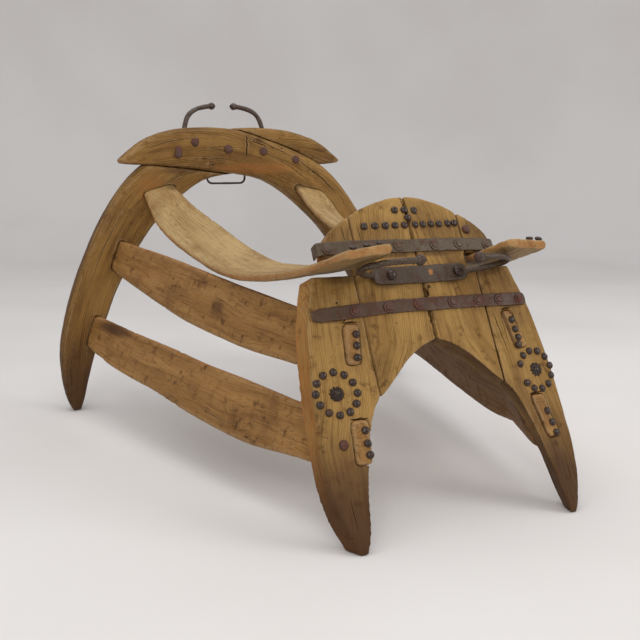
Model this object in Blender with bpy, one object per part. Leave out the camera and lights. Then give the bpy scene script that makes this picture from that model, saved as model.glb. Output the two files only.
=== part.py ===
"""Saddle rack: a wooden camel-saddle tree of two arches joined by six side boards.

The front arch is six edge-joined planks with iron straps and a double hook.  The rear arch is
two bent timbers halved into each other at the top.  Outline points are in centimetres on the
face of each arch and everything is built in metres, with +Z up and the front arch towards -Y.
"""
import math

import bmesh
import bpy
from mathutils import Matrix, Vector

# ---- driving dimensions (metres unless the name says otherwise) ----
CM = 0.01
GAP = 0.0003
ARCH_SPACING = 0.72
FRONT_LEAN_DEG = 27.1
FRONT_FOLD_DEG = 6.4
REAR_LEAN_DEG = 3.8
REAR_BOW = 0.087
REAR_BOW_FLAT = 0.06
PLANK_THICKNESS = 0.022
PLANK_BEVEL = 0.0016
PLANK_FLARE = 0.010
FLARE_FULL_ACROSS = 12.0
TIMBER_THICKNESS = 0.040
TIMBER_SQUARE = 4.2
TIMBER_TAPER = {0: 0.62, 1: 0.8, 2: 0.93}
FAR_TIMBER_SETBACK = 0.006
LAP_DEPTH = 0.023
SEAT_BOARD_THICKNESS = 0.011
SIDE_BOARD_THICKNESS = 0.013
TENON_PROUD = 0.0018
POCKET_STATIONS = 4
NOTCH_START = 18
STRAP_THICKNESS = 0.002
STRAP_HEIGHT = 0.016
PLATE_THICKNESS = 0.0034
PLATE_HEIGHT = 0.021
FRONT_ROD_RADIUS = 0.0037
REAR_ROD_RADIUS = 0.0042
LOOP_WIRE_RADIUS = 0.0019
LOOP_WIDTH = 0.070
LOOP_DROP = 0.034
LOOP_CORNER_RADIUS = 0.009
LOOP_AXIS_HEIGHT_CM = 39.5
LOOP_STANDOFF = 0.0035
STAPLE_WIRE_RADIUS = 0.0011
STAPLE_SPREAD = 0.052
STAPLE_BEND_RADIUS = 0.0037
STAPLE_DEPTH = 0.012
RING_POINTS = 12
NAIL_SIDES = 10

# ---- outline points on the front arch, right half, in centimetres (across, up the face) ----
SEAM_SLACK_CM = 0.03
SEAM_ACROSS = 8.1
CROWN_SEAM_ACROSS = 7.3
NECK_ACROSS = 6.8
SHOULDER_UP = 30.25
CROWN_FOOT_UP = 32.25
CROWN_ARC = [(0.0, 39.7), (2.4, 39.35), (5.2, 38.45), (7.3, 37.35)]
CROWN_CORNER_ARC = [(7.3, 37.35), (8.7, 36.5), (10.2, 35.3), (11.2, 33.9), (11.5, 32.25)]
OPENING_ARC = [(0.0, 22.3), (2.0, 21.5), (3.9, 20.2), (5.7, 18.4), (7.2, 16.9), (8.1, 16.2)]
LEG_INNER = [(8.1, 16.2), (9.3, 14.6), (10.4, 11.6), (11.1, 9.0), (11.7, 6.4), (12.2, 3.4), (12.8, -1.0)]
LEG_OUTER = [(13.5, -1.0), (14.5, 1.9), (15.4, 5.0), (15.8, 8.5), (15.75, 12.5), (15.6, 17.0),
             (15.1, 21.5), (14.5, 25.3), (13.1, 30.25)]

# ---- rear timber, from horn tip over the top to the foot: outer and inner edge points (cm) ----
TIMBER_OUTER = [(-20.1, 40.1), (-18.2, 41.7), (-15.1, 43.8), (-10.2, 45.3), (-3.8, 45.7), (1.4, 45.2),
                (6.2, 43.6), (11.6, 41.5), (16.3, 39.1), (19.9, 35.6), (22.7, 31.6), (25.1, 27.4),
                (27.5, 22.4), (29.4, 17.4), (30.6, 13.0), (31.2, 9.2), (31.1, 5.6), (30.6, 2.4), (29.9, 0.0)]
TIMBER_INNER = [(-19.8, 39.6), (-18.0, 39.4), (-14.6, 39.2), (-9.6, 38.8), (-3.0, 38.0), (1.6, 37.5),
                (5.4, 36.6), (9.2, 34.3), (12.4, 31.6), (15.2, 28.8), (17.4, 25.9), (19.6, 22.4),
                (21.7, 18.6), (23.4, 14.8), (25.0, 11.0), (26.3, 7.4), (27.2, 4.2), (27.8, 1.9), (28.2, 0.0)]

# ---- boards: (distance back, outer across, outer height, inner across, inner height), cm ----
SEAT_BOARD = [(75.8, 16.1, 35.0, 10.9, 35.9), (71.4, 16.3, 32.6, 10.5, 34.2), (66.0, 16.3, 29.6, 9.8, 32.2),
              (56.0, 15.9, 27.1, 8.9, 29.6), (45.0, 15.6, 25.4, 8.5, 27.3), (36.0, 15.4, 24.9, 8.4, 26.2),
              (28.0, 15.1, 25.4, 8.5, 26.4), (21.0, 14.5, 26.4, 8.2, 27.0), (16.4, 14.1, 27.35, 7.6, 27.75),
              (13.0, 13.7, 28.25, 7.2, 28.65), (9.6, 13.2, 29.25, 7.0, 29.75), (7.6, 12.7, 29.9, 7.3, 30.4)]
# ---- (distance back, top across, top height, bottom across, bottom height), cm ----
MID_BOARD = [(74.3, 20.3, 27.0, 22.1, 22.6), (68.0, 19.2, 26.6, 21.3, 21.2), (57.0, 17.4, 25.8, 19.8, 19.4),
             (47.0, 15.8, 24.9, 18.4, 17.9), (37.0, 14.2, 23.9, 16.8, 16.9), (28.0, 12.8, 23.2, 15.2, 16.4),
             (21.5, 11.7, 22.6, 13.9, 16.4)]
LOWER_BOARD = [(73.2, 25.1, 15.1, 26.8, 10.4), (66.0, 23.8, 14.9, 26.0, 9.4), (58.0, 22.3, 14.5, 24.5, 8.4),
               (48.0, 20.2, 14.0, 22.5, 7.8), (38.0, 18.1, 13.4, 20.6, 6.9), (30.0, 16.4, 13.1, 18.9, 6.4),
               (23.0, 15.0, 12.8, 17.3, 6.2), (16.0, 13.6, 12.5, 15.7, 6.8)]
# ---- tenon ends on the front face: (top across, top up, bottom across, bottom up), cm ----
TENONS = {
    "mid left": (9.9, 24.5, 10.4, 20.0),
    "mid right": (11.0, 24.6, 11.9, 19.9),
    "lower left": (11.2, 13.9, 11.6, 9.2),
    "lower right": (12.2, 14.2, 13.3, 9.0),
}
TENON_THICKNESS = {"mid": 0.017, "lower": 0.020}
SHOULDER_SPREAD = {"mid": 0.8, "lower": 0.6}
SHOULDER_MARGIN = 0.0035
SHOULDER_OUT = (0.1, 0.3)
SHOULDER_SETBACK = 0.006

# ---- ironwork on the front arch, cm on the face ----
UPPER_STRAP_LINE = [(-11.6, 33.3), (-11.2, 33.35), (-6.0, 33.5), (0.0, 33.4), (5.5, 33.3), (10.6, 32.95),
                    (11.5, 32.75)]
STRAP_WRAP = [(12.0, -0.014), (12.0, -0.003), (11.88, 0.0011)]
LOWER_STRAP_LINE = [(-14.2, 25.6), (-8.5, 26.0), (-2.0, 26.3), (5.7, 26.15), (12.6, 25.85), (14.3, 25.75)]
UPPER_RIVETS = [(-10.7, 33.3), (-5.4, 33.5), (-2.1, 33.45), (2.6, 33.35), (6.2, 33.2), (10.4, 32.95)]
LOWER_RIVETS = [(-9.0, 25.95), (-5.0, 26.15), (-1.3, 26.3), (3.2, 26.2), (7.0, 26.1), (10.1, 25.95),
                (13.3, 25.85)]
HOOK_PLATE_UP = 29.85
HOOK_PLATE_NAILS = [(-3.9, 29.85), (4.9, 29.85)]
ROSETTE_CENTRE = (13.1, 17.0)
BIG_NAILS = [("crown right", 8.1, 35.1), ("leg left", -13.5, 11.5)]

# ---- the rods of the two double hooks: (across, up, out from the plate), cm ----
FRONT_HOOK = [(6.0, 29.8, 0.1), (7.0, 29.7, 0.7), (8.2, 29.5, 1.9), (8.8, 29.3, 3.4), (8.5, 29.2, 4.9),
              (7.4, 29.1, 5.9), (5.8, 29.1, 6.3), (4.1, 29.15, 6.35), (2.7, 29.2, 6.3)]
REAR_HOOK = [(6.2, 41.6, 0.2), (7.0, 42.6, 0.7), (7.25, 44.4, 0.8), (7.0, 46.4, 0.8), (6.2, 48.0, 0.8),
             (4.8, 48.9, 0.8), (3.2, 49.3, 0.8), (1.5, 49.5, 0.8)]
KNOB_STEPS = (0.0075, 0.0055, 0.002)
KNOB_SWELL = {4: 1.35, 3: 1.55, 2: 1.1, 1: 0.25}

# ---- nail heads: (head radius, head height, shank radius, length), metres ----
RIVET = (0.0050, 0.0016, 0.0013, 0.014)
PLATE_NAIL = (0.0062, 0.0042, 0.0018, 0.020)
BOSS = (0.0082, 0.0042, 0.0018, 0.018)
BIG_NAIL = (0.0052, 0.0030, 0.0020, 0.018)
LAP_NAIL = (0.0072, 0.0030, 0.0022, 0.038)
REAR_PLATE_NAIL = (0.0062, 0.0038, 0.0018, 0.016)

# ---- rear arch nails and ironwork, cm on the face ----
LAP_NAILS = [(-7.1, 43.1), (-10.1, 41.4), (-1.2, 41.9), (5.2, 41.6), (11.0, 40.2)]
REAR_PLATE_UP = 41.5
REAR_PLATE_NAILS = [(-3.8, 41.5), (3.8, 41.5)]

COLOURS = {
    "front wood": (0.300, 0.195, 0.080),
    "rear wood": (0.340, 0.225, 0.100),
    "seat wood": (0.360, 0.240, 0.115),
    "side wood": (0.300, 0.185, 0.090),
    "iron": (0.060, 0.048, 0.042),
    "rust": (0.110, 0.055, 0.040),
}

part_collection = None
cutter_collection = None


# ---------------------------------------------------------------- scene helpers
def clear_scene():
    """Remove whatever the start-up scene holds."""
    for item in list(bpy.data.objects):
        bpy.data.objects.remove(item, do_unlink=True)


def make_collection(name):
    """A new collection under the scene."""
    collection = bpy.data.collections.new(name)
    bpy.context.scene.collection.children.link(collection)
    return collection


def make_material(name, colour, roughness, metallic):
    """A Principled material of its own for one piece."""
    material = bpy.data.materials.new(name)
    material.use_nodes = True
    shader = material.node_tree.nodes["Principled BSDF"]
    shader.inputs["Base Color"].default_value = (*colour, 1.0)
    shader.inputs["Roughness"].default_value = roughness
    shader.inputs["Metallic"].default_value = metallic
    return material


def add_piece(name, mesh_data, finish, smooth=True):
    """Name a mesh as a piece of the rack and give it its finish."""
    mesh_data.name = name
    piece = bpy.data.objects.new(name, mesh_data)
    part_collection.objects.link(piece)
    metallic = 0.85 if finish in ("iron", "rust") else 0.0
    roughness = 0.55 if metallic else 0.8
    mesh_data.materials.append(make_material(name, COLOURS[finish], roughness, metallic))
    for polygon in mesh_data.polygons:
        polygon.use_smooth = smooth
    return piece


def add_cutter(name, mesh_data):
    """Keep a cutting shape apart from the pieces."""
    cutter = bpy.data.objects.new(name, mesh_data)
    cutter_collection.objects.link(cutter)
    cutter.hide_render = True
    cutter.display_type = "WIRE"
    return cutter


def cut(piece, cutter):
    """Take the cutter's shape out of a piece."""
    boolean = piece.modifiers.new(cutter.name, "BOOLEAN")
    boolean.operation = "DIFFERENCE"
    boolean.solver = "EXACT"
    boolean.object = cutter


def finish_mesh(builder):
    """Turn a bmesh into mesh data with its faces pointing out."""
    bmesh.ops.recalc_face_normals(builder, faces=builder.faces)
    mesh_data = bpy.data.meshes.new("shape")
    builder.to_mesh(mesh_data)
    builder.free()
    return mesh_data


# ---------------------------------------------------------------- the two arch faces
def front_axes(side):
    """Across, up and outward directions of one half of the front arch's face."""
    lean = math.radians(FRONT_LEAN_DEG)
    fold = math.radians(FRONT_FOLD_DEG)
    across = Vector((side * math.cos(fold), math.sin(fold), 0.0))
    up = Vector((0.0, math.sin(lean), math.cos(lean)))
    out = across.cross(up).normalized()
    if out.y > 0.0:
        out.negate()
    return across, up, out


def front_point(across_cm, up_cm, out=0.0):
    """A point on (or off) the front arch's face."""
    side = -1.0 if across_cm < 0.0 else 1.0
    across, up, normal = front_axes(side)
    return across * (abs(across_cm) * CM) + up * (up_cm * CM) + normal * out


def rear_point(across_cm, up_cm, back=0.0):
    """A point on (or behind) the rear arch's front face, which bows forward at the legs."""
    lean = math.radians(REAR_LEAN_DEG)
    across = across_cm * CM
    bow = REAR_BOW * (math.hypot(across, REAR_BOW_FLAT) - REAR_BOW_FLAT)
    height = up_cm * CM
    return Vector((across, ARCH_SPACING + height * math.sin(lean) - bow + back, height * math.cos(lean)))


def rear_normal(across_cm, up_cm):
    """Outward (forward) direction of the rear arch's face at a point."""
    sideways = rear_point(across_cm + 0.1, up_cm) - rear_point(across_cm - 0.1, up_cm)
    upwards = rear_point(across_cm, up_cm + 0.1) - rear_point(across_cm, up_cm - 0.1)
    return sideways.cross(upwards).normalized()


# ---------------------------------------------------------------- shape makers
class Station:
    """One cross-section of a lofted piece: where it is, how wide, how thick, how square."""

    def __init__(self, centre, width, depth, square=5.0):
        self.centre = centre
        self.width = width
        self.depth = depth
        self.square = square

    def ring(self, grow=0.0, square=None):
        """Points round the section, grown on every side by a clearance."""
        power = 2.0 / (square or self.square)
        width = self.width * (1.0 + grow / self.width.length)
        depth = self.depth * (1.0 + grow / self.depth.length)
        points = []
        for index in range(RING_POINTS):
            angle = 2.0 * math.pi * (index + 0.5) / RING_POINTS
            cosine = math.cos(angle)
            sine = math.sin(angle)
            along_width = math.copysign(abs(cosine) ** power, cosine)
            along_depth = math.copysign(abs(sine) ** power, sine)
            points.append(self.centre + width * along_width + depth * along_depth)
        return points


def spline(before, start, end, after, fraction):
    """Smooth blend between start and end that follows its neighbours."""
    squared = fraction * fraction
    cubed = squared * fraction
    blend = (end - before) * fraction + (before * 2.0 - start * 5.0 + end * 4.0 - after) * squared
    blend += (start * 3.0 - before - end * 3.0 + after) * cubed
    return start + blend * 0.5


def smooth_stations(stations, steps):
    """More stations on a smooth path through the given ones."""
    result = []
    last = len(stations) - 1
    for index in range(last):
        before = stations[max(index - 1, 0)]
        after = stations[min(index + 2, last)]
        around = [before, stations[index], stations[index + 1], after]
        for step in range(steps):
            fraction = step / steps
            centre = spline(*[item.centre for item in around], fraction)
            width = spline(*[item.width for item in around], fraction)
            depth = spline(*[item.depth for item in around], fraction)
            square = around[1].square + (around[2].square - around[1].square) * fraction
            result.append(Station(centre, width, depth, square))
    result.append(stations[-1])
    return result


def loft(stations, grow=0.0, square=None, closed=False):
    """A closed skin through the stations' rings."""
    builder = bmesh.new()
    rings = []
    for station in stations:
        rings.append([builder.verts.new(point) for point in station.ring(grow, square)])
    pairs = list(zip(rings, rings[1:]))
    if closed:
        pairs.append((rings[-1], rings[0]))
    for first, second in pairs:
        for index in range(RING_POINTS):
            following = (index + 1) % RING_POINTS
            builder.faces.new((first[index], first[following], second[following], second[index]))
    if not closed:
        builder.faces.new(rings[0])
        builder.faces.new(rings[-1])
    return finish_mesh(builder)


def smooth_outline(points, steps):
    """A smooth run of outline points through the given ones."""
    vectors = [Vector((point[0], point[1])) for point in points]
    last = len(vectors) - 1
    result = []
    for index in range(last):
        before = vectors[max(index - 1, 0)]
        after = vectors[min(index + 2, last)]
        around = (before, vectors[index], vectors[index + 1], after)
        for step in range(steps):
            result.append(tuple(spline(*around, step / steps)))
    result.append(tuple(vectors[-1]))
    return result


def back_point(across_cm, up_cm, side):
    """A point on the back of the front arch, whose sides splay outwards below the notches."""
    splay = 0.0
    if up_cm < CROWN_FOOT_UP:
        splay = PLANK_FLARE / CM * min(across_cm / FLARE_FULL_ACROSS, 1.0)
    return front_point(side * (across_cm + splay), up_cm, -PLANK_THICKNESS)


def plank(outline, side):
    """A flat plank of the front arch with its face edges slightly worn."""
    builder = bmesh.new()
    face_ring = [builder.verts.new(front_point(side * across, up)) for across, up in outline]
    back_ring = [builder.verts.new(back_point(across, up, side)) for across, up in outline]
    for vert in face_ring + back_ring:
        vert.co.x = side * max(side * vert.co.x, SEAM_SLACK_CM * CM)
    builder.faces.new(face_ring)
    builder.faces.new(back_ring)
    count = len(outline)
    for index in range(count):
        following = (index + 1) % count
        builder.faces.new((face_ring[index], face_ring[following], back_ring[following], back_ring[index]))
    rims = [edge for edge in builder.edges if len({vert in face_ring for vert in edge.verts}) == 1]
    bmesh.ops.bevel(builder, geom=rims, offset=PLANK_BEVEL, segments=1, affect="EDGES")
    return finish_mesh(builder)


def path_frames(points, first_side):
    """Direction and a steady side vector at each point of a path."""
    frames = []
    side = first_side.normalized()
    for index, point in enumerate(points):
        before = points[max(index - 1, 0)]
        after = points[min(index + 1, len(points) - 1)]
        direction = (after - before).normalized()
        side = (side - direction * side.dot(direction)).normalized()
        frames.append((point, direction, side))
    return frames


def round_stations(points, radii, first_side, depth_hint):
    """Round sections along a path; the hint keeps the rings turning the same way as their neighbours."""
    frames = path_frames(points, first_side)
    hand = math.copysign(1.0, frames[0][1].cross(frames[0][2]).dot(depth_hint))
    stations = []
    for (point, direction, side), radius in zip(frames, radii):
        stations.append(Station(point, side * radius, direction.cross(side) * (radius * hand), 2.0))
    return stations


def turned(profile, centre, axis):
    """A closed turned shape from (radius, distance) pairs along an axis; ends have radius zero."""
    sides = NAIL_SIDES
    turn = axis.normalized().to_track_quat("Z", "Y")
    builder = bmesh.new()
    start = builder.verts.new(centre + axis.normalized() * profile[0][1])
    end = builder.verts.new(centre + axis.normalized() * profile[-1][1])
    rings = []
    for radius, distance in profile[1:-1]:
        ring = []
        for index in range(sides):
            angle = 2.0 * math.pi * index / sides
            offset = turn @ Vector((radius * math.cos(angle), radius * math.sin(angle), distance))
            ring.append(builder.verts.new(centre + offset))
        rings.append(ring)
    for index in range(sides):
        following = (index + 1) % sides
        builder.faces.new((start, rings[0][following], rings[0][index]))
        builder.faces.new((end, rings[-1][index], rings[-1][following]))
        for first, second in zip(rings, rings[1:]):
            builder.faces.new((first[index], first[following], second[following], second[index]))
    return finish_mesh(builder)


# ---------------------------------------------------------------- nails
def nail_profile(head_radius, head_height, shank_radius, length):
    """Domed head outside the surface and a straight shank below it."""
    profile = [(0.0, head_height)]
    for step in range(1, 4):
        angle = math.pi / 2.0 * step / 4.0
        profile.append((head_radius * math.sin(angle), head_height * math.cos(angle)))
    profile += [(head_radius, GAP * 2.0), (head_radius, GAP), (shank_radius, GAP)]
    profile += [(shank_radius, -length * 0.8), (0.0, -length)]
    return profile


def drive_nail(name, surface_point, outward, targets, head, finish="iron"):
    """A nail standing on a surface, with a clearance hole drilled in what it passes through."""
    head_radius, head_height, shank_radius, length = head
    profile = nail_profile(head_radius, head_height, shank_radius, length)
    add_piece(name, turned(profile, surface_point, outward), finish)
    bore = shank_radius + GAP
    hole = [(0.0, 0.02), (bore, 0.02), (bore, -length * 0.8 - GAP), (0.0, -length - GAP * 4.0)]
    cutter = add_cutter(name + " hole", turned(hole, surface_point, outward))
    for target in targets:
        cut(target, cutter)


# ---------------------------------------------------------------- front arch
def board_stations(rows, side, thickness, flat):
    """Stations of one side or seat board, rear end first."""
    stations = []
    for back, across_a, height_a, across_b, height_b in rows:
        first = Vector((side * across_a, back, height_a)) * CM
        second = Vector((side * across_b, back, height_b)) * CM
        width = (first - second) * 0.5
        along = Vector((0.0, -1.0, 0.0))
        depth = width.cross(along).normalized() * (thickness * 0.5)
        stations.append(Station((first + second) * 0.5, width, depth, flat))
    return stations


def tenon_stations(tenon, side, thickness, grow_back):
    """The end of a side board that passes through the front arch."""
    top_across, top_up, bottom_across, bottom_up = tenon
    stations = []
    for out in (-PLANK_THICKNESS - grow_back, TENON_PROUD):
        top = front_point(side * top_across, top_up, out)
        bottom = front_point(side * bottom_across, bottom_up, out)
        across = front_axes(side)[0]
        width = (top - bottom) * 0.5
        stations.append(Station((top + bottom) * 0.5, width, across * (thickness * side * 0.5), 9.0))
    return stations


def shoulder_station(tenon, side, thickness, spread, out):
    """The full board pressed against the back of the front arch, slightly further out than its tenon."""
    top_across, top_up, bottom_across, bottom_up = tenon
    top = front_point(side * (top_across + SHOULDER_OUT[0]), top_up + spread, out)
    bottom = front_point(side * (bottom_across + SHOULDER_OUT[1]), bottom_up - spread, out)
    across = front_axes(side)[0]
    width = (top - bottom) * 0.5
    depth = across * ((thickness * 0.5 + SHOULDER_MARGIN) * side)
    return Station((top + bottom) * 0.5, width, depth, 6.0)


def build_side_board(level, side_name, side, rows):
    """One curved side board with its tenon; returns the two end shapes for its pocket and mortise."""
    tenon = TENONS[level + " " + side_name]
    thickness = TENON_THICKNESS[level]
    spread = SHOULDER_SPREAD[level]
    body = smooth_stations(board_stations(rows, side, SIDE_BOARD_THICKNESS, 6.0), 3)
    shoulder = shoulder_station(tenon, side, thickness, spread, -PLANK_THICKNESS - SHOULDER_SETBACK)
    against = shoulder_station(tenon, side, thickness, spread, -PLANK_THICKNESS - GAP)
    ends = tenon_stations(tenon, side, thickness, GAP)
    stations = body + smooth_stations([body[-1], shoulder], 3)[1:] + [against] + ends
    add_piece("%s_board_%s" % (level, side_name), loft(stations), "side wood")
    return body[:POCKET_STATIONS], tenon_stations(tenon, side, thickness, PLANK_THICKNESS)


def build_seat_board(name, side):
    """One thin, sagging seat board with its end in front of the arch; returns its stations."""
    stations = smooth_stations(board_stations(SEAT_BOARD, side, SEAT_BOARD_THICKNESS, 6.0), 3)
    add_piece(name, loft(stations), "seat wood")
    return stations


def mirrored_runs():
    """Outlines of the three planks of one half, as (name, points)."""
    slack = SEAM_SLACK_CM
    crown_arc = smooth_outline(CROWN_ARC, 4)
    crown_arc[0] = (slack, CROWN_ARC[0][1])
    opening = smooth_outline(OPENING_ARC, 3)
    opening[0] = (slack, OPENING_ARC[0][1])
    centre = crown_arc[:-1] + [(CROWN_SEAM_ACROSS - slack, 37.35), (CROWN_SEAM_ACROSS - slack, CROWN_FOOT_UP)]
    centre += [(NECK_ACROSS, CROWN_FOOT_UP), (NECK_ACROSS, SHOULDER_UP)]
    centre += [(SEAM_ACROSS - slack, SHOULDER_UP), (SEAM_ACROSS - slack, 16.2)]
    centre += list(reversed(opening[:-1]))
    corner = smooth_outline(CROWN_CORNER_ARC, 3)
    corner[0] = (CROWN_SEAM_ACROSS + slack, CROWN_CORNER_ARC[0][1])
    corner += [(CROWN_SEAM_ACROSS + slack, CROWN_FOOT_UP)]
    leg = smooth_outline(LEG_OUTER, 3) + [(SEAM_ACROSS + slack, SHOULDER_UP)]
    inner = smooth_outline(LEG_INNER, 3)
    inner[0] = (SEAM_ACROSS + slack, LEG_INNER[0][1])
    leg += inner
    return [("centre", centre), ("crown", corner), ("leg", leg)]


def build_front_arch(floor_cutter):
    """Six planks edge to edge; returns them by name."""
    planks = {}
    for side_name, side in (("left", -1.0), ("right", 1.0)):
        for part, outline in mirrored_runs():
            name = "front_arch_%s_%s" % (part, side_name)
            planks[part + " " + side_name] = add_piece(name, plank(outline, side), "front wood", smooth=False)
        cut(planks["leg " + side_name], floor_cutter)
    return planks


# ---------------------------------------------------------------- rear arch
def timber_stations(side, near, far, tapered=True):
    """Stations of one bent rear timber between two depths behind the front face."""
    stations = []
    last = len(TIMBER_OUTER) - 1
    for index, (outer, inner) in enumerate(zip(TIMBER_OUTER, TIMBER_INNER)):
        middle = (near + far) * 0.5
        outer_point = rear_point(side * outer[0], outer[1], middle)
        inner_point = rear_point(side * inner[0], inner[1], middle)
        taper = TIMBER_TAPER.get(min(index, last - index), 1.0) if tapered else 1.0
        depth = Vector((0.0, (far - near) * 0.5 * taper, 0.0))
        centre = (outer_point + inner_point) * 0.5
        stations.append(Station(centre, (outer_point - inner_point) * 0.5, depth, TIMBER_SQUARE))
    return smooth_stations(stations, 2)


def build_rear_arch(floor_cutter):
    """Two bent timbers halved together at the top."""
    far_back = FAR_TIMBER_SETBACK + TIMBER_THICKNESS
    near_skin = loft(timber_stations(1.0, 0.0, TIMBER_THICKNESS))
    near_timber = add_piece("rear_timber_near", near_skin, "rear wood")
    far_skin = loft(timber_stations(-1.0, FAR_TIMBER_SETBACK, far_back))
    far_timber = add_piece("rear_timber_far", far_skin, "rear wood")
    front_half = loft(timber_stations(1.0, -0.02, LAP_DEPTH + GAP, False), GAP, 40.0)
    back_half = loft(timber_stations(-1.0, LAP_DEPTH - GAP * 2.0, 0.08, False), GAP, 40.0)
    cut(far_timber, add_cutter("lap front half", front_half))
    cut(near_timber, add_cutter("lap back half", back_half))
    for timber in (near_timber, far_timber):
        cut(timber, floor_cutter)
    return near_timber, far_timber


# ---------------------------------------------------------------- ironwork
def strap_stations(line, height, steps=4):
    """Flat strap stations along a line on the front face."""
    middle = GAP + STRAP_THICKNESS * 0.5
    stations = []
    for across, up in smooth_outline(line, steps):
        side = -1.0 if across < 0.0 else 1.0
        _, up_axis, out_axis = front_axes(side)
        centre = front_point(across, up, middle)
        stations.append(Station(centre, up_axis * (height * 0.5), out_axis * (STRAP_THICKNESS * 0.5), 12.0))
    return stations


def build_straps():
    """The two iron straps that hold the front arch's planks together."""
    upper = strap_stations(UPPER_STRAP_LINE, STRAP_HEIGHT)
    upper[-1].width *= 0.35
    upper[-2].width *= 0.75
    across, up_axis, out_axis = front_axes(-1.0)
    wrap = []
    for distance, out in STRAP_WRAP:
        mix = (out_axis + across).normalized() if out > 0.0 else across
        thickness = mix * (STRAP_THICKNESS * 0.5)
        centre = front_point(-distance, UPPER_STRAP_LINE[0][1], out)
        wrap.append(Station(centre, up_axis * (STRAP_HEIGHT * 0.5), thickness, 12.0))
    upper_strap = add_piece("front_strap_upper", loft(wrap + upper), "iron", smooth=False)
    lower = strap_stations(LOWER_STRAP_LINE, STRAP_HEIGHT)
    lower[0].width *= 0.6
    lower[-1].width *= 0.4
    lower[-2].width *= 0.8
    lower_strap = add_piece("front_strap_lower", loft(lower), "iron", smooth=False)
    return upper_strap, lower_strap


def knob_radii(count, rod_radius):
    """Rod radius along its length, swelling to a blunt faceted point at the end."""
    return [rod_radius * KNOB_SWELL.get(count - index, 1.0) for index in range(count)]


def smooth_path(points, steps):
    """A smooth 3D path through the given points."""
    result = []
    last = len(points) - 1
    for index in range(last):
        around = (points[max(index - 1, 0)], points[index], points[index + 1], points[min(index + 2, last)])
        for step in range(steps):
            result.append(spline(*around, step / steps))
    result.append(points[-1])
    return result


def hook_half(plate_centres, rod_points, up_axis, out_axis, rod_radius):
    """Stations from the middle of the plate to one knob."""
    stations = []
    for centre in plate_centres:
        width = up_axis * (PLATE_HEIGHT * 0.5)
        stations.append(Station(centre, width, out_axis * (PLATE_THICKNESS * 0.5), 10.0))
    path = smooth_path(rod_points, 3)
    direction = (path[-1] - path[-2]).normalized()
    knob = [path[-1] - direction * distance for distance in KNOB_STEPS]
    path = path[:-2] + knob + [path[-1]]
    rod = round_stations(path, knob_radii(len(path), rod_radius), up_axis, out_axis)
    rod[0].width = up_axis * (PLATE_HEIGHT * 0.4)
    rod[0].depth = out_axis * (PLATE_THICKNESS * 0.5)
    rod[0].square = 8.0
    return stations + rod


def build_front_hook():
    """Plate nailed across the neck, with both ends drawn out into rods that curl forward."""
    middle = GAP + PLATE_THICKNESS * 0.5
    halves = []
    for side in (-1.0, 1.0):
        _, up_axis, out_axis = front_axes(side)
        plate = [front_point(side * across, HOOK_PLATE_UP, middle) for across in (0.4, 3.0, 5.4)]
        rod = [front_point(side * across, up, middle + out * CM) for across, up, out in FRONT_HOOK]
        halves.append(hook_half(plate, rod, up_axis, out_axis, FRONT_ROD_RADIUS))
    return add_piece("front_hook", loft(list(reversed(halves[0])) + halves[1]), "iron")


def rear_up_axis():
    """Up along the rear arch's face."""
    lean = math.radians(REAR_LEAN_DEG)
    return Vector((0.0, math.sin(lean), math.cos(lean)))


def build_rear_hook(far_back):
    """Plate on the back of the lap, with two rods that rise over the top and curl together."""
    middle = far_back + GAP + PLATE_THICKNESS * 0.5
    halves = []
    for side in (-1.0, 1.0):
        plate = [rear_point(side * across, REAR_PLATE_UP, middle) for across in (0.4, 3.0, 5.2)]
        rod = [rear_point(side * across, up, middle + out * CM) for across, up, out in REAR_HOOK]
        halves.append(hook_half(plate, rod, rear_up_axis(), Vector((0.0, 1.0, 0.0)), REAR_ROD_RADIUS))
    return add_piece("rear_hook", loft(list(reversed(halves[0])) + halves[1]), "rust")


def loop_path(centre):
    """Rounded rectangle of wire hanging from its straight top bar, as a closed run of points."""
    half = LOOP_WIDTH * 0.5
    radius = LOOP_CORNER_RADIUS
    corners = [(half - radius, -radius, 0.5), (half - radius, radius - LOOP_DROP, 0.0),
               (radius - half, radius - LOOP_DROP, -0.5), (radius - half, -radius, -1.0)]
    points = []
    for across, height, start in corners:
        for step in range(5):
            angle = math.pi * (start - 0.5 * step / 4.0)
            offset = Vector((across + radius * math.cos(angle), 0.0, height + radius * math.sin(angle)))
            points.append(centre + offset)
    return points


def build_loop(far_back):
    """The hanging wire loop and its two staples; returns the staples' holes and the loop's axis."""
    standoff = GAP + LOOP_WIRE_RADIUS + LOOP_STANDOFF
    axis_point = rear_point(0.0, LOOP_AXIS_HEIGHT_CM, far_back + standoff)
    path = loop_path(axis_point)
    backwards = Vector((0.0, 1.0, 0.0))
    stations = []
    for index, point in enumerate(path):
        direction = (path[(index + 1) % len(path)] - path[index - 1]).normalized()
        width = direction.cross(backwards).normalized() * LOOP_WIRE_RADIUS
        stations.append(Station(point, width, backwards * LOOP_WIRE_RADIUS, 2.0))
    loop = add_piece("crupper_loop", loft(stations, closed=True), "iron")
    loop.data.transform(Matrix.Translation(-axis_point))
    loop.location = axis_point
    holes = []
    for name, hand in (("left", -1.0), ("right", 1.0)):
        holes.append(build_staple("loop_staple_" + name, axis_point, hand * STAPLE_SPREAD * 0.5, standoff))
    return holes, axis_point


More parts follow.
